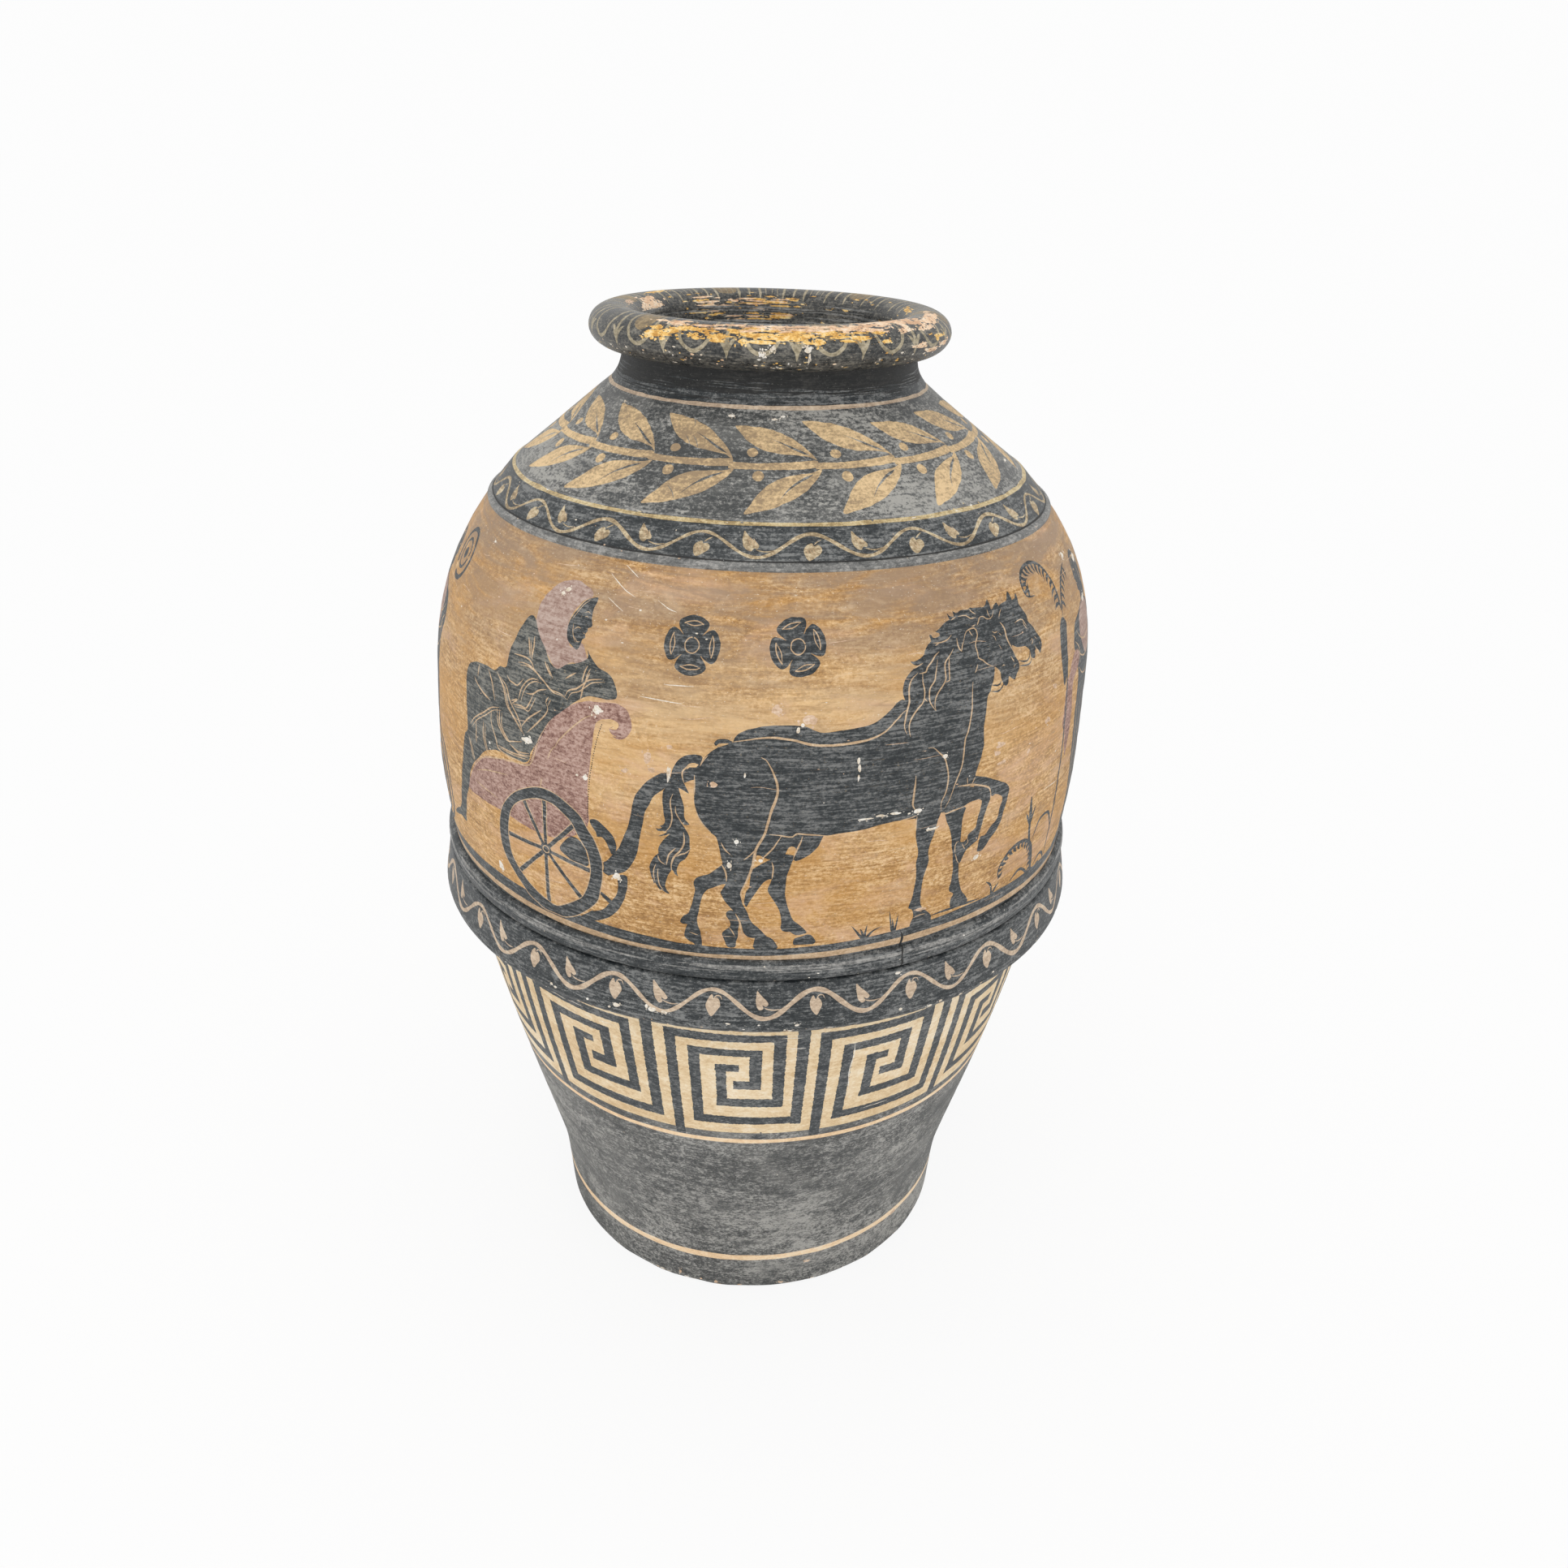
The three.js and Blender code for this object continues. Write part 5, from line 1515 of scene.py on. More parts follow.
def wave(p, count, crest, middle, height, width, paint):
    """A vine that runs round the jar in count even waves, with a crest at the given place."""
    half = p.curve.width / 2
    step = p.curve.width / int(p.curve.width / 2.4)
    x = np.arange(-half - 2 * step, half + 2.5 * step, step)
    turn = count * 2 * math.pi / p.curve.width
    sway = 0.8 * np.sin(3 * 2 * math.pi * x / p.curve.width + 1.0)
    v = middle + height * np.cos(turn * (x - crest)) + sway
    slope = -height * turn * np.sin(turn * (x - crest))
    size = np.hypot(1, slope)
    swell = 1 + 0.13 * np.sin(9 * 2 * math.pi * x / p.curve.width) + 0.12 * np.sin(turn * 5 * (x - crest))
    thick = width / 2 * swell
    above = np.stack([x - slope / size * thick, v + thick / size], 1)
    below = np.stack([x + slope / size * thick, v - thick / size], 1)
    p.add(np.concatenate([above, below[::-1]]), paint)


def leaning(shape, anchor, lean, size):
    """A leaf's outline, leaning by lean for every ten millimetres over its anchor, and sized about it."""
    return [((a + lean * (b - anchor) / 10) * size, anchor + (b - anchor) * size) for a, b in shape]


def paint_foot():
    """The tan stripe, which dips on one side, and the chipped bottom edge."""
    p = Painter("foot", 11)
    p.stripe(47.6, 56.2, "stripe", hand=0.6, waves=0.0)
    outline, _ = p.shapes[-1]
    outline[:, 1] += 3.6 * np.sin(outline[:, 0] / p.curve.reference + 0.1)
    p.scatter(70, (-780, 780), (0.4, 3.2), (1, 5), (0.6, 2.2), ["bare", "chip"])
    p.chips(FOOT_CHIPS, "bare")
    return p


def paint_lower():
    """The cream panel with its square spirals, and the thin line under it."""
    p = Painter("lower", 12)
    p.stripe(163.5, 170.0, "stripe", hand=0.5, waves=0.8)
    p.stripe(182.0, 350.5, "cream", hand=0.5, waves=0.6)
    starts = list(MEANDER_STARTS)
    pitch = (p.curve.width + starts[0] - starts[-1]) / MEANDER_REST
    starts += [starts[-1] + pitch * (i + 1) for i in range(MEANDER_REST)]
    for start, end in zip(starts, starts[1:]):
        scale = (end - start) / MEANDER_UNIT
        if start > p.curve.width / 2:
            start -= p.curve.width
        drop = p.rng.uniform(-1.5, 1.5)
        for x0, v0, x1, v1 in MEANDER_BARS:
            j = [p.rng.uniform(-0.8, 0.8) for _ in range(8)]
            corners = [(x0 * scale + j[0], v0 + j[1]), (x1 * scale + j[2], v0 + j[3]),
                       (x1 * scale + j[4], v1 + j[5]), (x0 * scale + j[6], v1 + j[7])]
            moved = drop if v1 < 350 and v0 > 175 else 0
            p.straight(corners, "slip_meander", start, moved, hand=0.5, step=1.9)
        for _ in range(5):
            x = start + p.rng.uniform(10, 140)
            v = p.rng.choice([189, 204, 322, 336, 347]) + p.rng.uniform(-2, 2)
            p.line([(x, v), (x + 9, v + 0.4), (x + 22, v - 0.3)], 0.8, "chip")
    p.line([(108, 318), (109, 300), (107, 275), (110, 245)], 1.2, "chip")
    p.line([(252, 262), (254, 250), (255, 236)], 2.0, "chip")
    p.chip(9, 176, 11, 5, "slip_meander")
    p.scatter(36, (-1000, 1000), (10, 160), (0.6, 1.8), (0.5, 1.2))
    return p


def paint_collar():
    """The collar's vine with ivy leaves, and the chipped lip."""
    p = Painter("collar", 13)
    wave(p, COLLAR_WAVES, 60.0, 32.5, 14.6, 4.4, "vine_pale")
    half_pitch = p.curve.width / COLLAR_WAVES / 2
    for _, x in p.repeats(COLLAR_WAVES, 10):
        size = p.rng.uniform(0.95, 1.12)
        lean = p.rng.uniform(-1.5, 1.5)
        p.blob(leaning(COLLAR_LEAF_UP, 37, lean, size), "vine_pale", x - 1, 0, step=1.5)
        p.line([(0, 30), (4, 28.4), (10, 27.6), (16, 28.6)], 1.3, "vine_pale", x, 0)
        p.blob(leaning(COLLAR_LEAF_DOWN, 32, -lean, size), "vine_pale", x + half_pitch, 0, step=1.5)
        p.line([(1, 38), (3.5, 41.4), (7.5, 41), (9, 37.6)], 1.2, "vine_pale", x + half_pitch, 0)
    p.chips(COLLAR_CHIPS)
    p.scatter(130, (-1140, 1140), lambda: p.rng.gauss(4.5, 2.2), (0.6, 2.8), (0.5, 1.1),
              ["chip", "bare", "vine_pale"])
    return p


def paint_roll():
    """Painted grey highlights along the upper side of the coil, its butt joint and small chips."""
    p = Painter("roll", 14)
    # Grey lines along the coil's upper side: painted highlights
    for _ in range(60):
        x = p.rng.uniform(-1110, 1110)
        places = [(x, 19), (x + p.rng.uniform(20, 60), 19.6), (x + 90, 19.0)]
        p.line(places, p.rng.uniform(1.0, 3.2), "grey", 0, p.rng.uniform(-3, 3))
    p.line([(146, -1), (147.4, 8), (146, 17), (148, 27), (147, 31)], [1.4, 2.4, 1.6, 2.6, 2.0], "dark_and_shade")
    p.scatter(40, (-1110, 1110), (5, 24), (0.5, 1.6), (0.4, 1.0))
    return p


def paint_ivy():
    """The ivy band: grey bead, painted shade in the groove above it, vine with leaves, gold line along the
    ridge.
    """
    p = Painter("ivy", 15)
    p.stripe(-1.0, 8.6, "grey", hand=0.5, waves=0.0)
    # Painted shade in the groove between the bead and the raised band
    p.stripe(8.6, 10.4, "dark_and_shade", hand=0.3, waves=0.0)
    p.stripe(43.6, 47.0, "gold", hand=0.5, waves=0.2)
    wave(p, IVY_WAVES, -57.0, 24.2, 11.4, 3.2, "vine")
    half_pitch = p.curve.width / IVY_WAVES / 2
    for _, x in p.repeats(IVY_WAVES, -6):
        size = p.rng.uniform(0.9, 1.06)
        lean = p.rng.uniform(-1.2, 1.2)
        p.blob(leaning(IVY_LEAF_UP, 27, lean, size), "vine", x - 3, 0.5, step=1.4)
        p.blob(leaning(IVY_LEAF_DOWN, 20, -lean, size), "vine", x + half_pitch, 0, step=1.4)
        p.line([(-1, 21), (4, 19.4), (10, 19), (16, 20.6)], 1.2, "vine", x, 0)
        p.line([(2, 26), (5, 28.6), (9.5, 31)], 1.2, "vine", x + half_pitch, 0)
        for a in (-6, -3, 0):
            p.line([(a, 32 - a * 0.3), (a + 3.4, 24.5)], 0.7, "tan", x - 3, 0)
            p.line([(a, 23), (a + 2.6, 16)], 0.7, "tan", x + half_pitch, 0)
    p.scatter(60, (-900, 900), (0, 44), (0.5, 2.0), (0.4, 1.0), ["chip", "bare", "grey"])
    return p


def paint_cone():
    """The laurel branch on the shoulder, and the gold-lined ridge at its foot with a painted highlight along
    its raised edge.
    """
    p = Painter("cone", 16)
    p.stripe(-1.0, 2.2, "gold", hand=0.8, waves=0.3)
    # Pale grey stripe above the gold line: painted highlight on the ridge's raised edge
    p.stripe(2.6, 4.9, "grey", hand=0.7, waves=0.2)
    p.stripe(125.6, 128.5, "vine_pale", hand=0.3, waves=0.0)
    for _, x in p.repeats(LAUREL_JOINTS, -38):
        size = p.rng.uniform(0.95, 1.03)
        tilt = p.rng.uniform(-0.03, 0.03)
        p.straight(STEM, "leaf", x, p.rng.uniform(-0.6, 0.6), hand=0.25)
        for shape, rib, anchor in ((LEAF_HIGH, RIB_HIGH, 70), (LEAF_LOW, RIB_LOW, 58)):
            leaf, slit = ([(a * size, anchor + (b - anchor) * size - a * tilt) for a, b in outline]
                          for outline in (shape, rib))
            p.blob(leaf, "leaf", x, 0, hand=0.5)
            p.line(slit, [1.0, 1.9, 2.6, 2.4], "slip_cone", x, 0, taper=(0.5, 0.15))
        for a, b, wide, high in BERRIES:
            p.dot(x + a + p.rng.uniform(-2, 2), b + p.rng.uniform(-1.5, 1.5), wide, high, "leaf", hand=0.08)
        for _ in range(7):
            a = p.rng.uniform(-30, 55)
            b = p.rng.uniform(80, 122) if p.rng.random() < 0.5 else p.rng.uniform(8, 45)
            p.line([(a, b), (a + 7, b - 6), (a + 12, b - 14)], 0.7, "grey", x, 0)
    p.chips(CONE_CHIPS)
    p.scatter(50, (-800, 800), lambda: abs(p.rng.gauss(0, 3)), (0.8, 3.4), (0.5, 1.3),
              ["chip", "gold", "grey"])
    return p


def paint_neck():
    """A pale line at the foot of the neck, a band of slip above it, and above that a near-black ground of
    painted shade under the rim, with brush streaks.
    """
    p = Painter("neck", 17)
    p.stripe(-1.0, 2.6, "vine_pale", hand=0.4, waves=0.4)
    p.stripe(2.6, 13.0, "slip", hand=0.8, waves=0.6)
    # Slip streaks run up into the painted shade, and streaks of the painted shade run down into the slip
    for _ in range(130):
        x, v = p.rng.uniform(-490, 490), p.rng.uniform(5, 24)
        places = [(x, v), (x + 14, v + 0.5), (x + p.rng.uniform(24, 50), v)]
        p.line(places, p.rng.uniform(0.5, 1.1), "slip" if v > 12 else "neck")
    return p


def paint_rim():
    """The rolled rim: tongue outlines and darts, much of it worn through to orange and peach clay, and
    painted grey highlights inside the mouth.
    """
    p = Painter("rim", 18)
    rng = p.rng
    half_pitch = p.curve.width / RIM_TONGUES / 2
    for k, x in p.repeats(RIM_TONGUES, -5):
        if k % 3 == 1:
            p.blob(TONGUE_WASH, "rim_wash", x, 0)
        p.line(TONGUE, 3.5, "rim_line", x, 0, taper=(0.05, 0.05), hand=0.4)
        p.straight(DART, "rim_line", x + half_pitch, 0, hand=0.35)
        for a in (-8, 0, 8):
            p.line([(a, 66), (a + rng.uniform(-1, 1), 78), (a, 90)], 1.0, "rim_line", x, 0)
    for x, v, wide, high, paint in RIM_WEAR:
        p.chip(x, v, wide, high, paint)
        for _ in range(5):
            p.chip(x + rng.uniform(-1.2, 1.2) * wide, v + rng.uniform(-1.3, 1.3) * high,
                   wide * rng.uniform(0.15, 0.4), high * rng.uniform(0.25, 0.6), paint)
        for _ in range(6):
            p.chip(x + rng.uniform(-0.9, 0.9) * wide, v + rng.uniform(-0.9, 0.9) * high,
                   wide * rng.uniform(0.04, 0.12), high * rng.uniform(0.1, 0.35), "rim")
    for _ in range(60):
        x, v = rng.uniform(-112, 118), rng.uniform(43, 66)
        p.chip(x, v, rng.uniform(4, 16), rng.uniform(0.8, 2.6), "orange" if v < 56 else "peach")
    p.scatter(210, (-560, 560), lambda: rng.gauss(22, 6), (0.6, 2.6), (0.5, 1.4),
              ["chip", "peach", "orange"])
    p.scatter(70, (-560, 560), (84, 118), (1.5, 7), (0.5, 1.4), "orange")
    for _ in range(60):
        x = rng.choice([-540, -500, -470, 560]) + rng.uniform(-22, 22)
        p.chip(x, rng.uniform(92, 118), rng.uniform(5, 20), rng.uniform(0.6, 1.5),
               rng.choice(["orange", "peach"]))
    # Grey streaks inside the mouth: painted gloss highlights
    for _ in range(70):
        x, v = rng.uniform(-600, 600), rng.uniform(100, 119)
        p.line([(x, v), (x + rng.uniform(20, 50), v + 0.5), (x + 90, v)], rng.uniform(0.8, 2.2), "grey")
    return p


def frond(p, stem, width, leaf, gap, side, dx=0.0):
    """A curling stem with short brushed leaves along one side."""
    p.line(stem, width, "figure", dx, 0, taper=(0.05, 0.3))
    path = smooth(stem, False, 1.0)
    ahead = np.gradient(path, axis=0)
    ahead /= np.maximum(np.linalg.norm(ahead, axis=1), 1e-6)[:, None]
    for k in range(gap, len(path) - 3, gap):
        (x, v), (ax, av) = path[k], ahead[k]
        nx, nv = -av * side, ax * side
        reach = leaf * p.rng.uniform(0.8, 1.15)
        tip = (x + (nx * 0.92 - ax * 0.35) * reach, v + (nv * 0.92 - av * 0.35) * reach)
        bend = (x + (nx * 0.55 - ax * 0.05) * reach, v + (nv * 0.55 - av * 0.05) * reach)
        widths = [width * 0.9, width * 1.15, width * 0.5]
        p.line([(x, v), bend, tip], widths, "figure", dx, 0, taper=(0, 0.5))


def ring_line(p, x, v, radius, width, paint, dx=0.0, start=0.0, end=360.0, wobble=0.8):
    """A brushed circle or part of one."""
    count = max(6, int((end - start) / 10))
    angles = [math.radians(start + (end - start) * i / count) for i in range(count + 1)]
    places = []
    for a in angles:
        moved = x + radius * math.cos(a) + p.rng.uniform(-wobble, wobble) * 0.4
        places.append((moved, v + radius * math.sin(a) + p.rng.uniform(-wobble, wobble) * 0.4))
    p.line(places, width, paint, dx, 0, taper=(0, 0))


def disc(p, x, v, radius, paint, dx=0.0):
    """A round brushed spot."""
    p.blob(round_points(x, v, radius, radius, 24), paint, dx, 0, hand=0.35)


def rosette(p, x, v, turn, dx):
    """Four broad dark lobes with narrow gaps, round a ringed centre."""
    for k in range(4):
        a = math.radians(turn + 90 * k)
        lobe = []
        for radius, spread in LOBE:
            b = a + math.radians(spread)
            lobe.append((x + radius * math.cos(b), v + radius * 0.97 * math.sin(b)))
        p.blob(lobe, "figure", dx, 0, hand=0.35, step=1.6)
        ring_line(p, x, v, 21.0, 1.1, "tan", dx, turn + 90 * k - 27, turn + 90 * k + 27, wobble=0.5)
        chord = [(x + r * math.cos(a + b), v + r * math.sin(a + b)) for r, b in LOBE_CHORD]
        p.line(chord, 1.0, "tan", dx, 0)
    disc(p, x, v, 12.5, "figure", dx)
    ring_line(p, x, v, 6.8, 1.1, "tan", dx, turn, turn + 350, wobble=0.4)


def paint_wheel(p, dx):
    """What shows of the far wheel, then the near wheel with its spokes, edged with thin pale lines."""
    p.blobs(FAR_WHEEL, "figure", dx, hand=0.25)
    x, v = HUB
    for a, b in SPOKES:
        places = [(x, v), ((x + a) / 2, (v + b) / 2), (a, b)]
        p.line(places, [5.4, 5.6, 6.4], "tan", dx, 0, taper=(0, 0))
        p.line(places, [3.8, 4.0, 4.8], "figure", dx, 0, taper=(0, 0), hand=0.3)
    for edge in (WHEEL_OUTER, WHEEL_INNER):
        p.line(edge + edge[:1], 1.9, "tan", dx, 0, taper=(0, 0))
    outer, inner_edge = smooth(WHEEL_OUTER, True), smooth(WHEEL_INNER, True)
    p.add(np.concatenate([outer, outer[:1], inner_edge[:1], inner_edge[::-1]]) + (dx, 0), "figure")
    disc(p, x, v, 6.6, "figure", dx)
    ring_line(p, x, v, 3.8, 1.0, "tan", dx, 0, 350, wobble=0.3)


def paint_car(p, dx):
    """The two-wheeled car with its high curled front, the pole, and the seated hooded rider."""
    p.blob(POLE, "figure", dx, 0)
    p.blob(CAR, "maroon", dx, 0, hand=0.5)
    p.blob(CURL_GAP, "ochre", dx, 0, hand=0.2, step=1.4)
    p.blob(CURL, "maroon", dx, 0, hand=0.2, step=1.4)
    p.lines(CAR_LINES, 1.2, "tan", dx)
    for edge in CAR_STITCHES:
        for a, b in smooth(edge, False, 2.4):
            p.dot(a + dx, b, 0.6, 0.8, "dark_and_shade")
    paint_wheel(p, dx)
    p.blob(HOOD, "mauve", dx, 0, hand=0.6)
    p.blob(ROBE, "robe", dx, 0, hand=0.4)
    p.blob(FACE, "figure", dx, 0, hand=0.15, step=1.6)
    p.lines(FACE_LINES, 0.7, "tan", dx)
    p.lines(ROBE_LINES, 1.5, "tan", dx)
    p.lines(ROBE_LINES[::2], 1.0, "tan", dx + 3.4, -1.8)
    p.chips(CAR_CHIPS, "chip", dx)


def paint_horses(p, dx):
    """The pair of horses, drawn as one dark body with pale lines, tails and legs."""
    p.blobs(FAR_LEGS, "figure", dx, hand=0.25)
    p.line([(176, 50.5), (196, 51.5), (220, 51), (242, 49)], 2.6, "figure", dx, 0)
    p.blobs((TAIL, HORSES), "figure", dx, hand=0.2)
    p.blobs(NEAR_LEGS, "figure", dx, hand=0.25)
    p.blobs(GAPS, "ochre", dx, hand=0.15)
    for width, points in HORSE_LINES + TAIL_LINES:
        p.line(points, width * 0.95, "tan", dx, 0)
    for width, points in REINS:
        p.line(points, width, "figure", dx, 0)
    p.chips(HORSE_CHIPS, "chip", dx)


def paint_plants(p, dx):
    """Trunk with fronds, ferns, grass tufts and leaves beside the horses."""
    p.line(TRUNK, [5, 4, 3.6, 3.2, 3, 3, 3], "figure", dx, 0)
    p.blob(LEAF_MASS, "figure", dx, 0)
    frond(p, CROWN_LEFT, 3.4, 13, 8, 1, dx)
    frond(p, CROWN_RIGHT, 3.4, 13, 9, -1, dx)
    frond(p, FERN, 4.2, 9, 8, 1, dx)
    p.line([(260, 42), (264, 52), (270, 58)], 3.0, "figure", dx, 0)
    p.line([(334, 42), (322, 75), (312, 100), (308, 130), (306, 143)], 4.2, "figure", dx, 0)
    p.blob(BUD, "figure", dx, 0)
    for a, b in ((300, 126), (318, 130)):
        p.line([(a, b), ((a + 309) / 2, 119), (310, 108)], [1.4, 3.2, 2.0], "figure", dx, 0)
    p.lines(SHOOTS, 3.6, "figure", dx)
    p.line([(248, 67), (256, 60), (260, 48), (259, 42)], 2.6, "figure", dx, 0)
    for base, tips in TUFTS:
        drift = 4 if base > 0 else 0
        for tip, top in tips:
            blade = [(tip, top + drift - 3), ((tip + base) / 2, 44 + drift), (base, 34 + drift)]
            p.line(blade, [0.9, 2.2, 3.0], "figure", dx, 0, taper=(0.2, 0))


def paint_standing(p, dx, side):
    """A standing draped figure, facing left, or mirrored to face right."""

    def turned(points):
        return [(a * side, b) for a, b in points]

    p.blobs([turned(shape) for shape in (STANDING, STANDING_HEAD, *STANDING_FEET)], "figure", dx, hand=0.4)
    p.blob(turned(STANDING_SHAWL), "mauve", dx, 0, hand=0.5)
    p.lines([turned(points) for points in STANDING_LINES], 1.6, "tan", dx)


def paint_scene(p, dx):
    """One run of the frieze: car, rider and horses, with plants and standing figures beside them."""
    paint_standing(p, 438 + dx, 1)
    p.blob(GARMENT, "maroon", dx, 0, hand=0.5)
    paint_plants(p, dx)
    for stem, width, leaf, gap, side in TENDRILS:
        frond(p, stem, width, leaf, gap, side, dx)
    paint_standing(p, -478 + dx, -1)
    for radius, paint in SHIELD:
        disc(p, -452, 98, radius, paint, dx)
    ring_line(p, -433, 346, 26, 5, "figure", dx, -120, 215)
    ring_line(p, -433, 346, 15, 3.4, "figure", dx, 0, 350)
    disc(p, -433, 346, 6, "figure", dx)
    rosette(p, -65, 331, 90, dx)
    rosette(p, 34.5, 333.5, 18, dx)
    paint_horses(p, dx)
    paint_car(p, dx)
    p.chips(FRIEZE_CHIPS, "chip", dx)
    p.chips(FRIEZE_BARE, "bare", dx)
    p.lines(FRIEZE_SCRATCHES, 0.8, "chip", dx)


def paint_frieze():
    """The belly: ground lines, then the same procession on the front and, half a turn on, on the back."""
    p = Painter("frieze", 19)
    rng = p.rng
    for low, high, paint, swing, shift in ((-1.0, 42.0, "slip", 5.5, 20), (23.8, 31.0, "tan", 3.5, 60)):
        p.stripe(low, high, paint, hand=0.5, waves=0.0)
        outline, _ = p.shapes[-1]
        sway = swing * np.cos(8 * math.pi * (outline[:, 0] + shift) / p.curve.width)
        outline[:, 1] -= np.where(outline[:, 1] > 10, sway, 0)
    for dx in (0.0, p.curve.width / 2):
        paint_scene(p, dx)
    p.line([(145, -1), (149, 10), (146, 20), (148, 32), (144, 44)], [1.6, 3.0, 2.2, 3.0, 1.0], "dark_and_shade")
    p.scatter(170, (-1120, 1120), (2, 396), (0.6, 2.2), (0.4, 1.1), ["chip", "bare", "bare"])
    for _ in range(120):
        x, v = rng.uniform(-1120, 1120), rng.uniform(40, 396)
        middle = (x + rng.uniform(6, 12), v + rng.uniform(-1, 1))
        end = (x + rng.uniform(14, 34), v + rng.uniform(-3, 3))
        p.line([(x, v), middle, end], rng.uniform(0.25, 0.6), "bare")
    return p


def place_on(curve, z):
    """Where a level lies along a band."""
    return float(np.interp(z, curve.z, curve.v))


def inside_rings(high, low, count):
    """The inner wall from a ring's top to its foot."""
    return [(inner(z), z) for z in np.linspace(high, low, count + 1)]


def build(painter, rows, ground, pieces, snug=False):
    """Cuts one band and makes its pieces: node name, low and high places along the band, and shell."""
    columns = {0, COLUMNS}
    for _, low, high, _ in pieces:
        count = strips(painter.curve.width, low, high)
        columns |= {COLUMNS * i // count for i in range(count + 1)}
    splits = {place for _, low, high, _ in pieces for place in (low, high)}
    band = cut_band(painter, rows, splits, sorted(columns), ground)
    for node, low, high, shell in pieces:
        piece = ring_piece(node + "_painted", painter.curve, band, low, high, shell, snug)
        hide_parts(node)
        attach(piece, "root")


def build_plain(painter, step, ground, node, shell, snug=False):
    """Builds a band that is one piece from end to end."""
    end = painter.curve.v[-1]
    build(painter, levels(0.0, end, step), ground, [(node, 0.0, end, shell)], snug)


def build_jar():
    """All eleven rings, from the floor up."""
    foot, collar, frieze = (CURVES[name] for name in ("foot", "collar", "frieze"))
    foot_split = place_on(foot, BASE_TOP)
    base_shell = [(wall(BASE_TOP) * share, BASE_TOP) for share in (0.6, 0.25, 0)]
    base_shell += [(wall(FLOOR) * share, FLOOR) for share in (0, 0.5)]
    build(paint_foot(), levels(0.0, foot.v[-1], 8, (1.2, 2.6, 4.2, foot_split)), "slip_worn", [
        ("base_disc", 0.0, foot_split, base_shell),
        ("foot_section", foot_split, foot.v[-1], inside_rings(FOOT_TOP, BASE_TOP, 10)),
    ])
    build_plain(paint_lower(), 9, "slip_worn", "lower_wall", inside_rings(WAIST, FOOT_TOP, 30))
    collar_rows = levels(collar.v[0], 12.0, 1.6)[:-1] + levels(12.0, collar.v[-1], 4.0)
    build(paint_collar(), collar_rows, "slip", [
        ("collar_band", collar.v[0], collar.v[-1], inside_rings(COLLAR_TOP, WAIST, 5))])
    roll_back = [(wall(z) + SEAT, z) for z in np.linspace(ROLL_TOP - 6, COLLAR_TOP, 4)]
    build_plain(paint_roll(), 1.6, "slip", "roll_moulding", roll_back, True)
    split = place_on(frieze, MIDDLE)
    build(paint_frieze(), levels(0.0, frieze.v[-1], 9, (split,)), "ochre", [
        ("lower_belly", 0.0, split, inside_rings(MIDDLE, COLLAR_TOP, 12)),
        ("upper_belly", split, frieze.v[-1], inside_rings(BELLY_TOP, MIDDLE, 24)),
    ])
    build_plain(paint_ivy(), 1.8, "slip", "ivy_band", inside_rings(RIDGE, BELLY_TOP, 6))
    build_plain(paint_cone(), 9, "slip_cone", "shoulder_cone", inside_rings(NECK_FOOT, RIDGE, 10))
    # The neck's ground is near-black painted shade under the rim
    build_plain(paint_neck(), 4, "neck", "neck_ring", inside_rings(NECK_TOP, NECK_FOOT, 6))
    build_plain(paint_rim(), 2.4, "rim", "rim_roll", [])


def camera_axes(yaw, pitch, roll_angle):
    """Right, up and forward of the camera, from angles in degrees."""
    yaw, pitch, roll_angle = (math.radians(a) for a in (yaw, pitch, roll_angle))
    forward = Vector((math.sin(yaw) * math.cos(pitch), math.cos(yaw) * math.cos(pitch), -math.sin(pitch)))
    level = Vector((math.cos(yaw), -math.sin(yaw), 0))
    over = level.cross(forward)
    right = level * math.cos(roll_angle) + over * math.sin(roll_angle)
    up = over * math.cos(roll_angle) - level * math.sin(roll_angle)
    return right, up, forward


def make_camera():
    """The photograph's viewpoint."""
    data = bpy.data.cameras.new("camera")
    data.lens = SENSOR * FOCAL_PIXELS / FRAME_PIXELS
    data.sensor_width = SENSOR
    data.clip_start = 0.05
    camera = bpy.data.objects.new("camera", data)
    right, up, forward = camera_axes(*CAMERA_ANGLES)
    turn = Matrix((right, up, -forward)).transposed().to_4x4()
    camera.matrix_world = Matrix.Translation(CAMERA_PLACE) @ turn
    bpy.context.scene.collection.objects.link(camera)
    bpy.context.scene.camera = camera


def make_light():
    """One large weak lamp, high in front of the jar."""
    data = bpy.data.lights.new("key", "AREA")
    data.shape = "RECTANGLE"
    data.size, data.size_y = KEY_SIZE
    data.energy = KEY_POWER
    data.color = KEY_COLOUR
    light = bpy.data.objects.new("key", data)
    light.location = KEY_PLACE
    aim = Vector(KEY_TARGET) - Vector(KEY_PLACE)
    light.rotation_euler = aim.to_track_quat("-Z", "Y").to_euler()
    bpy.context.scene.collection.objects.link(light)


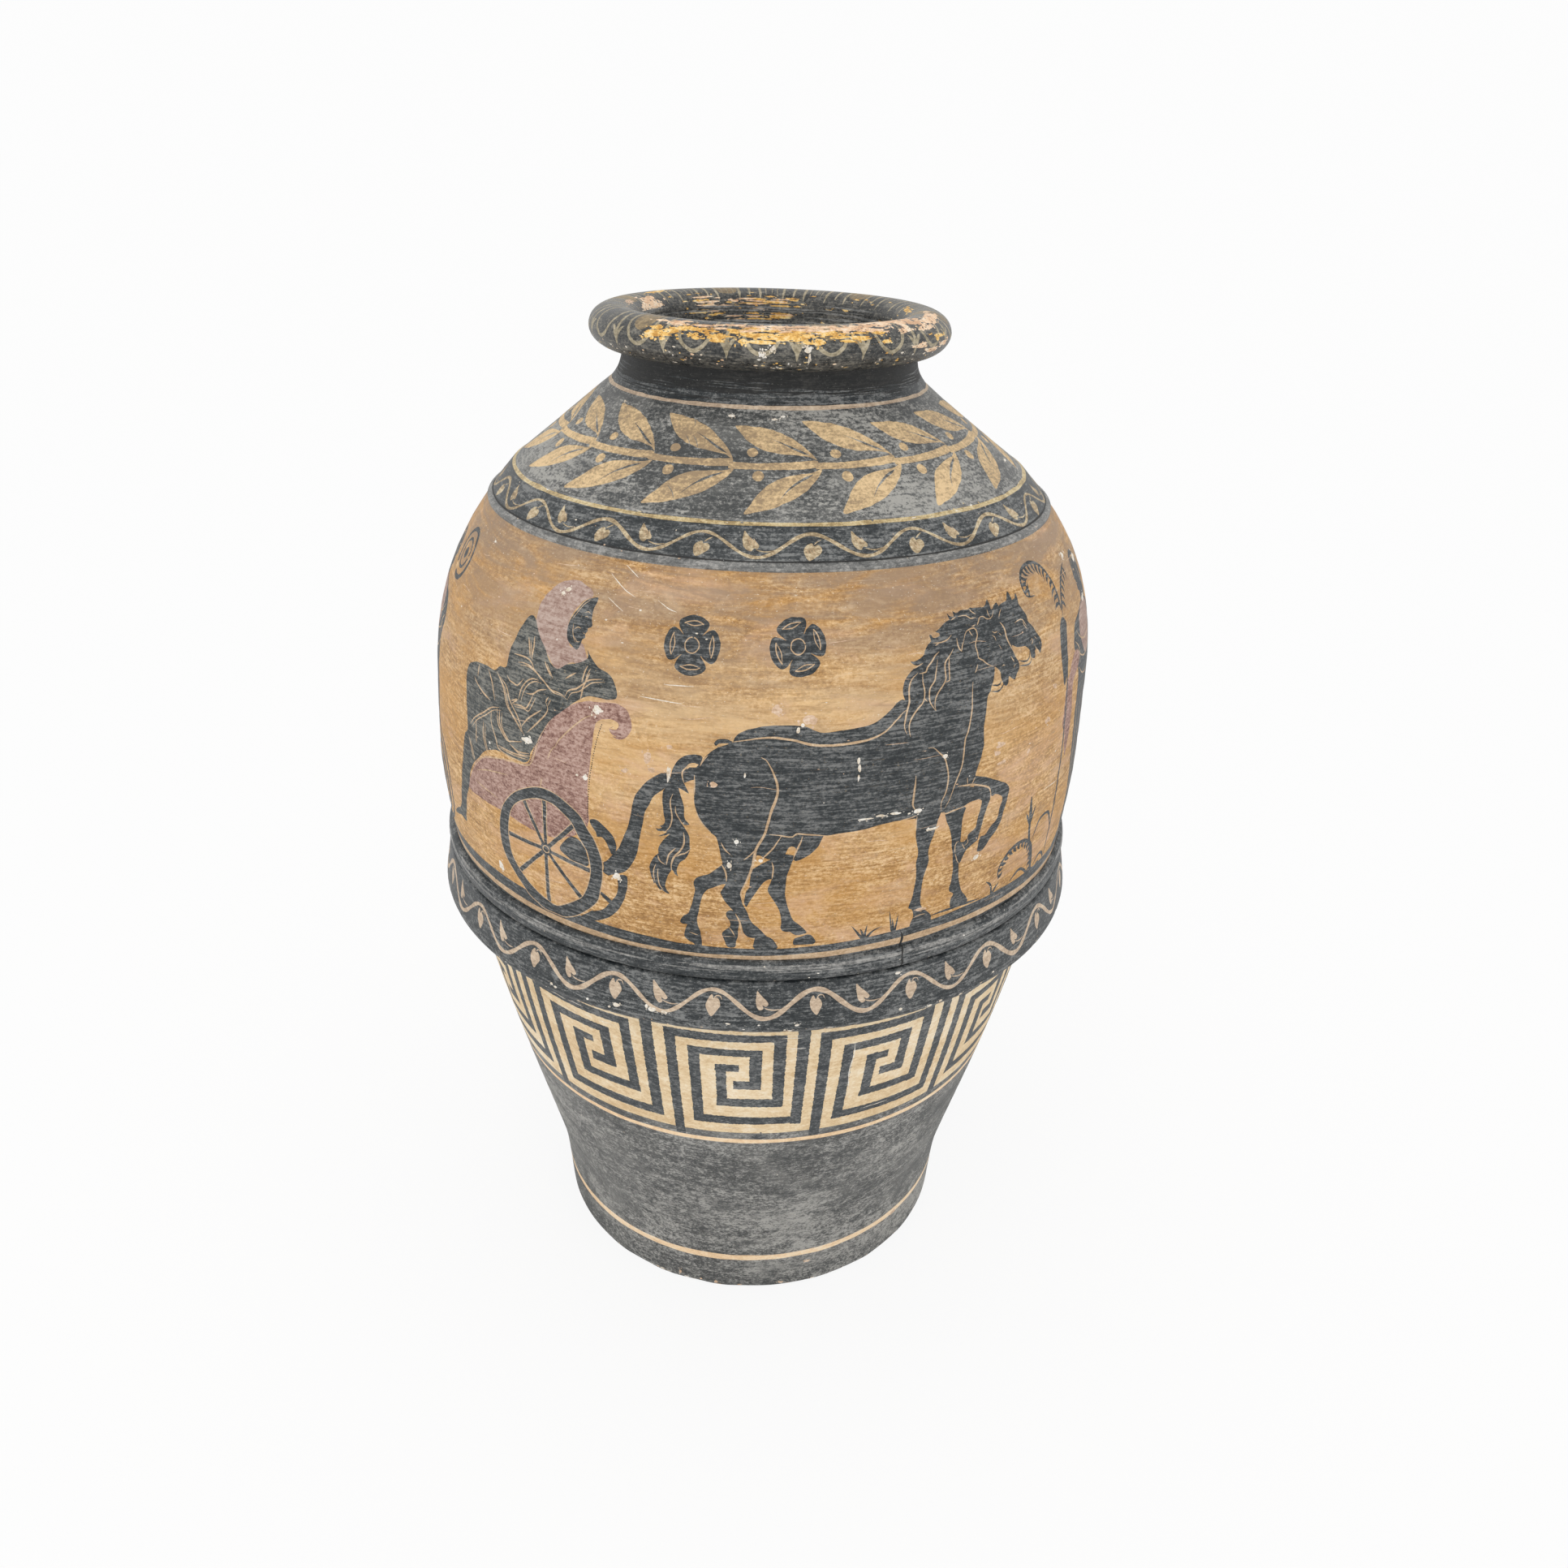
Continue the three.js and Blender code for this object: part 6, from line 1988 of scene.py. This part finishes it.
def make_world():
    """Nearly white behind the jar; the jar itself is lit by a soft dome, brighter from above."""
    world = bpy.data.worlds.new("studio")
    bpy.context.scene.world = world
    nodes = Nodes(world)
    axes = nodes.new("SeparateXYZ")
    nodes.link(nodes.new("TexCoord").outputs["Generated"], axes.inputs[0])
    height = nodes.set(nodes.new("MapRange"), From_Min=-1)
    nodes.link(axes.outputs["Z"], height.inputs["Value"])
    ramp = nodes.new("ValToRGB")
    nodes.link(height.outputs["Result"], ramp.inputs["Fac"])
    for stop, (position, colour) in zip(ramp.color_ramp.elements, DOME_STOPS):
        stop.position = position
        stop.color = (*colour, 1)
    dome = nodes.set(nodes.new("Background"), Strength=DOME_STRENGTH)
    nodes.link(ramp.outputs["Color"], dome.inputs["Color"])
    white = nodes.set(nodes.new("Background"), Color=(*[BACKDROP_WHITE] * 3, 1))
    choose = nodes.new("MixShader")
    nodes.link(nodes.new("LightPath").outputs["Is Camera Ray"], choose.inputs["Fac"])
    nodes.link(dome.outputs["Background"], choose.inputs[1])
    nodes.link(white.outputs["Background"], choose.inputs[2])
    nodes.link(choose.outputs["Shader"], nodes.new("OutputWorld").inputs["Surface"])


def make_floor():
    """A wide white floor that meets the white behind it and keeps the jar's soft shadow."""
    mesh = bpy.data.meshes.new("floor")
    sides = ((-1, -1), (1, -1), (1, 1), (-1, 1))
    mesh.from_pydata([(x * FLOOR_REACH, y * FLOOR_REACH, FLOOR_LEVEL) for x, y in sides], [], [(0, 1, 2, 3)])
    floor = bpy.data.objects.new("floor", mesh)
    bpy.context.scene.collection.objects.link(floor)
    made = bpy.data.materials.new("floor")
    nodes = Nodes(made)
    matt = nodes.set(nodes.new("BsdfDiffuse"), Color=(*[FLOOR_WHITE] * 3, 1))
    white = nodes.set(nodes.new("Emission"), Strength=1.0)
    share = nodes.new("Math")
    share.operation = "MULTIPLY"
    share.inputs[1].default_value = FLOOR_GLOW
    nodes.link(nodes.new("LightPath").outputs["Is Camera Ray"], share.inputs[0])
    blend = nodes.new("MixShader")
    nodes.link(share.outputs[0], blend.inputs["Fac"])
    nodes.link(matt.outputs["BSDF"], blend.inputs[1])
    nodes.link(white.outputs["Emission"], blend.inputs[2])
    nodes.link(blend.outputs["Shader"], nodes.new("OutputMaterial").inputs["Surface"])
    mesh.materials.append(made)


build_jar()
make_camera()
make_world()
make_floor()
make_light()
bpy.context.scene.view_settings.view_transform = "Standard"
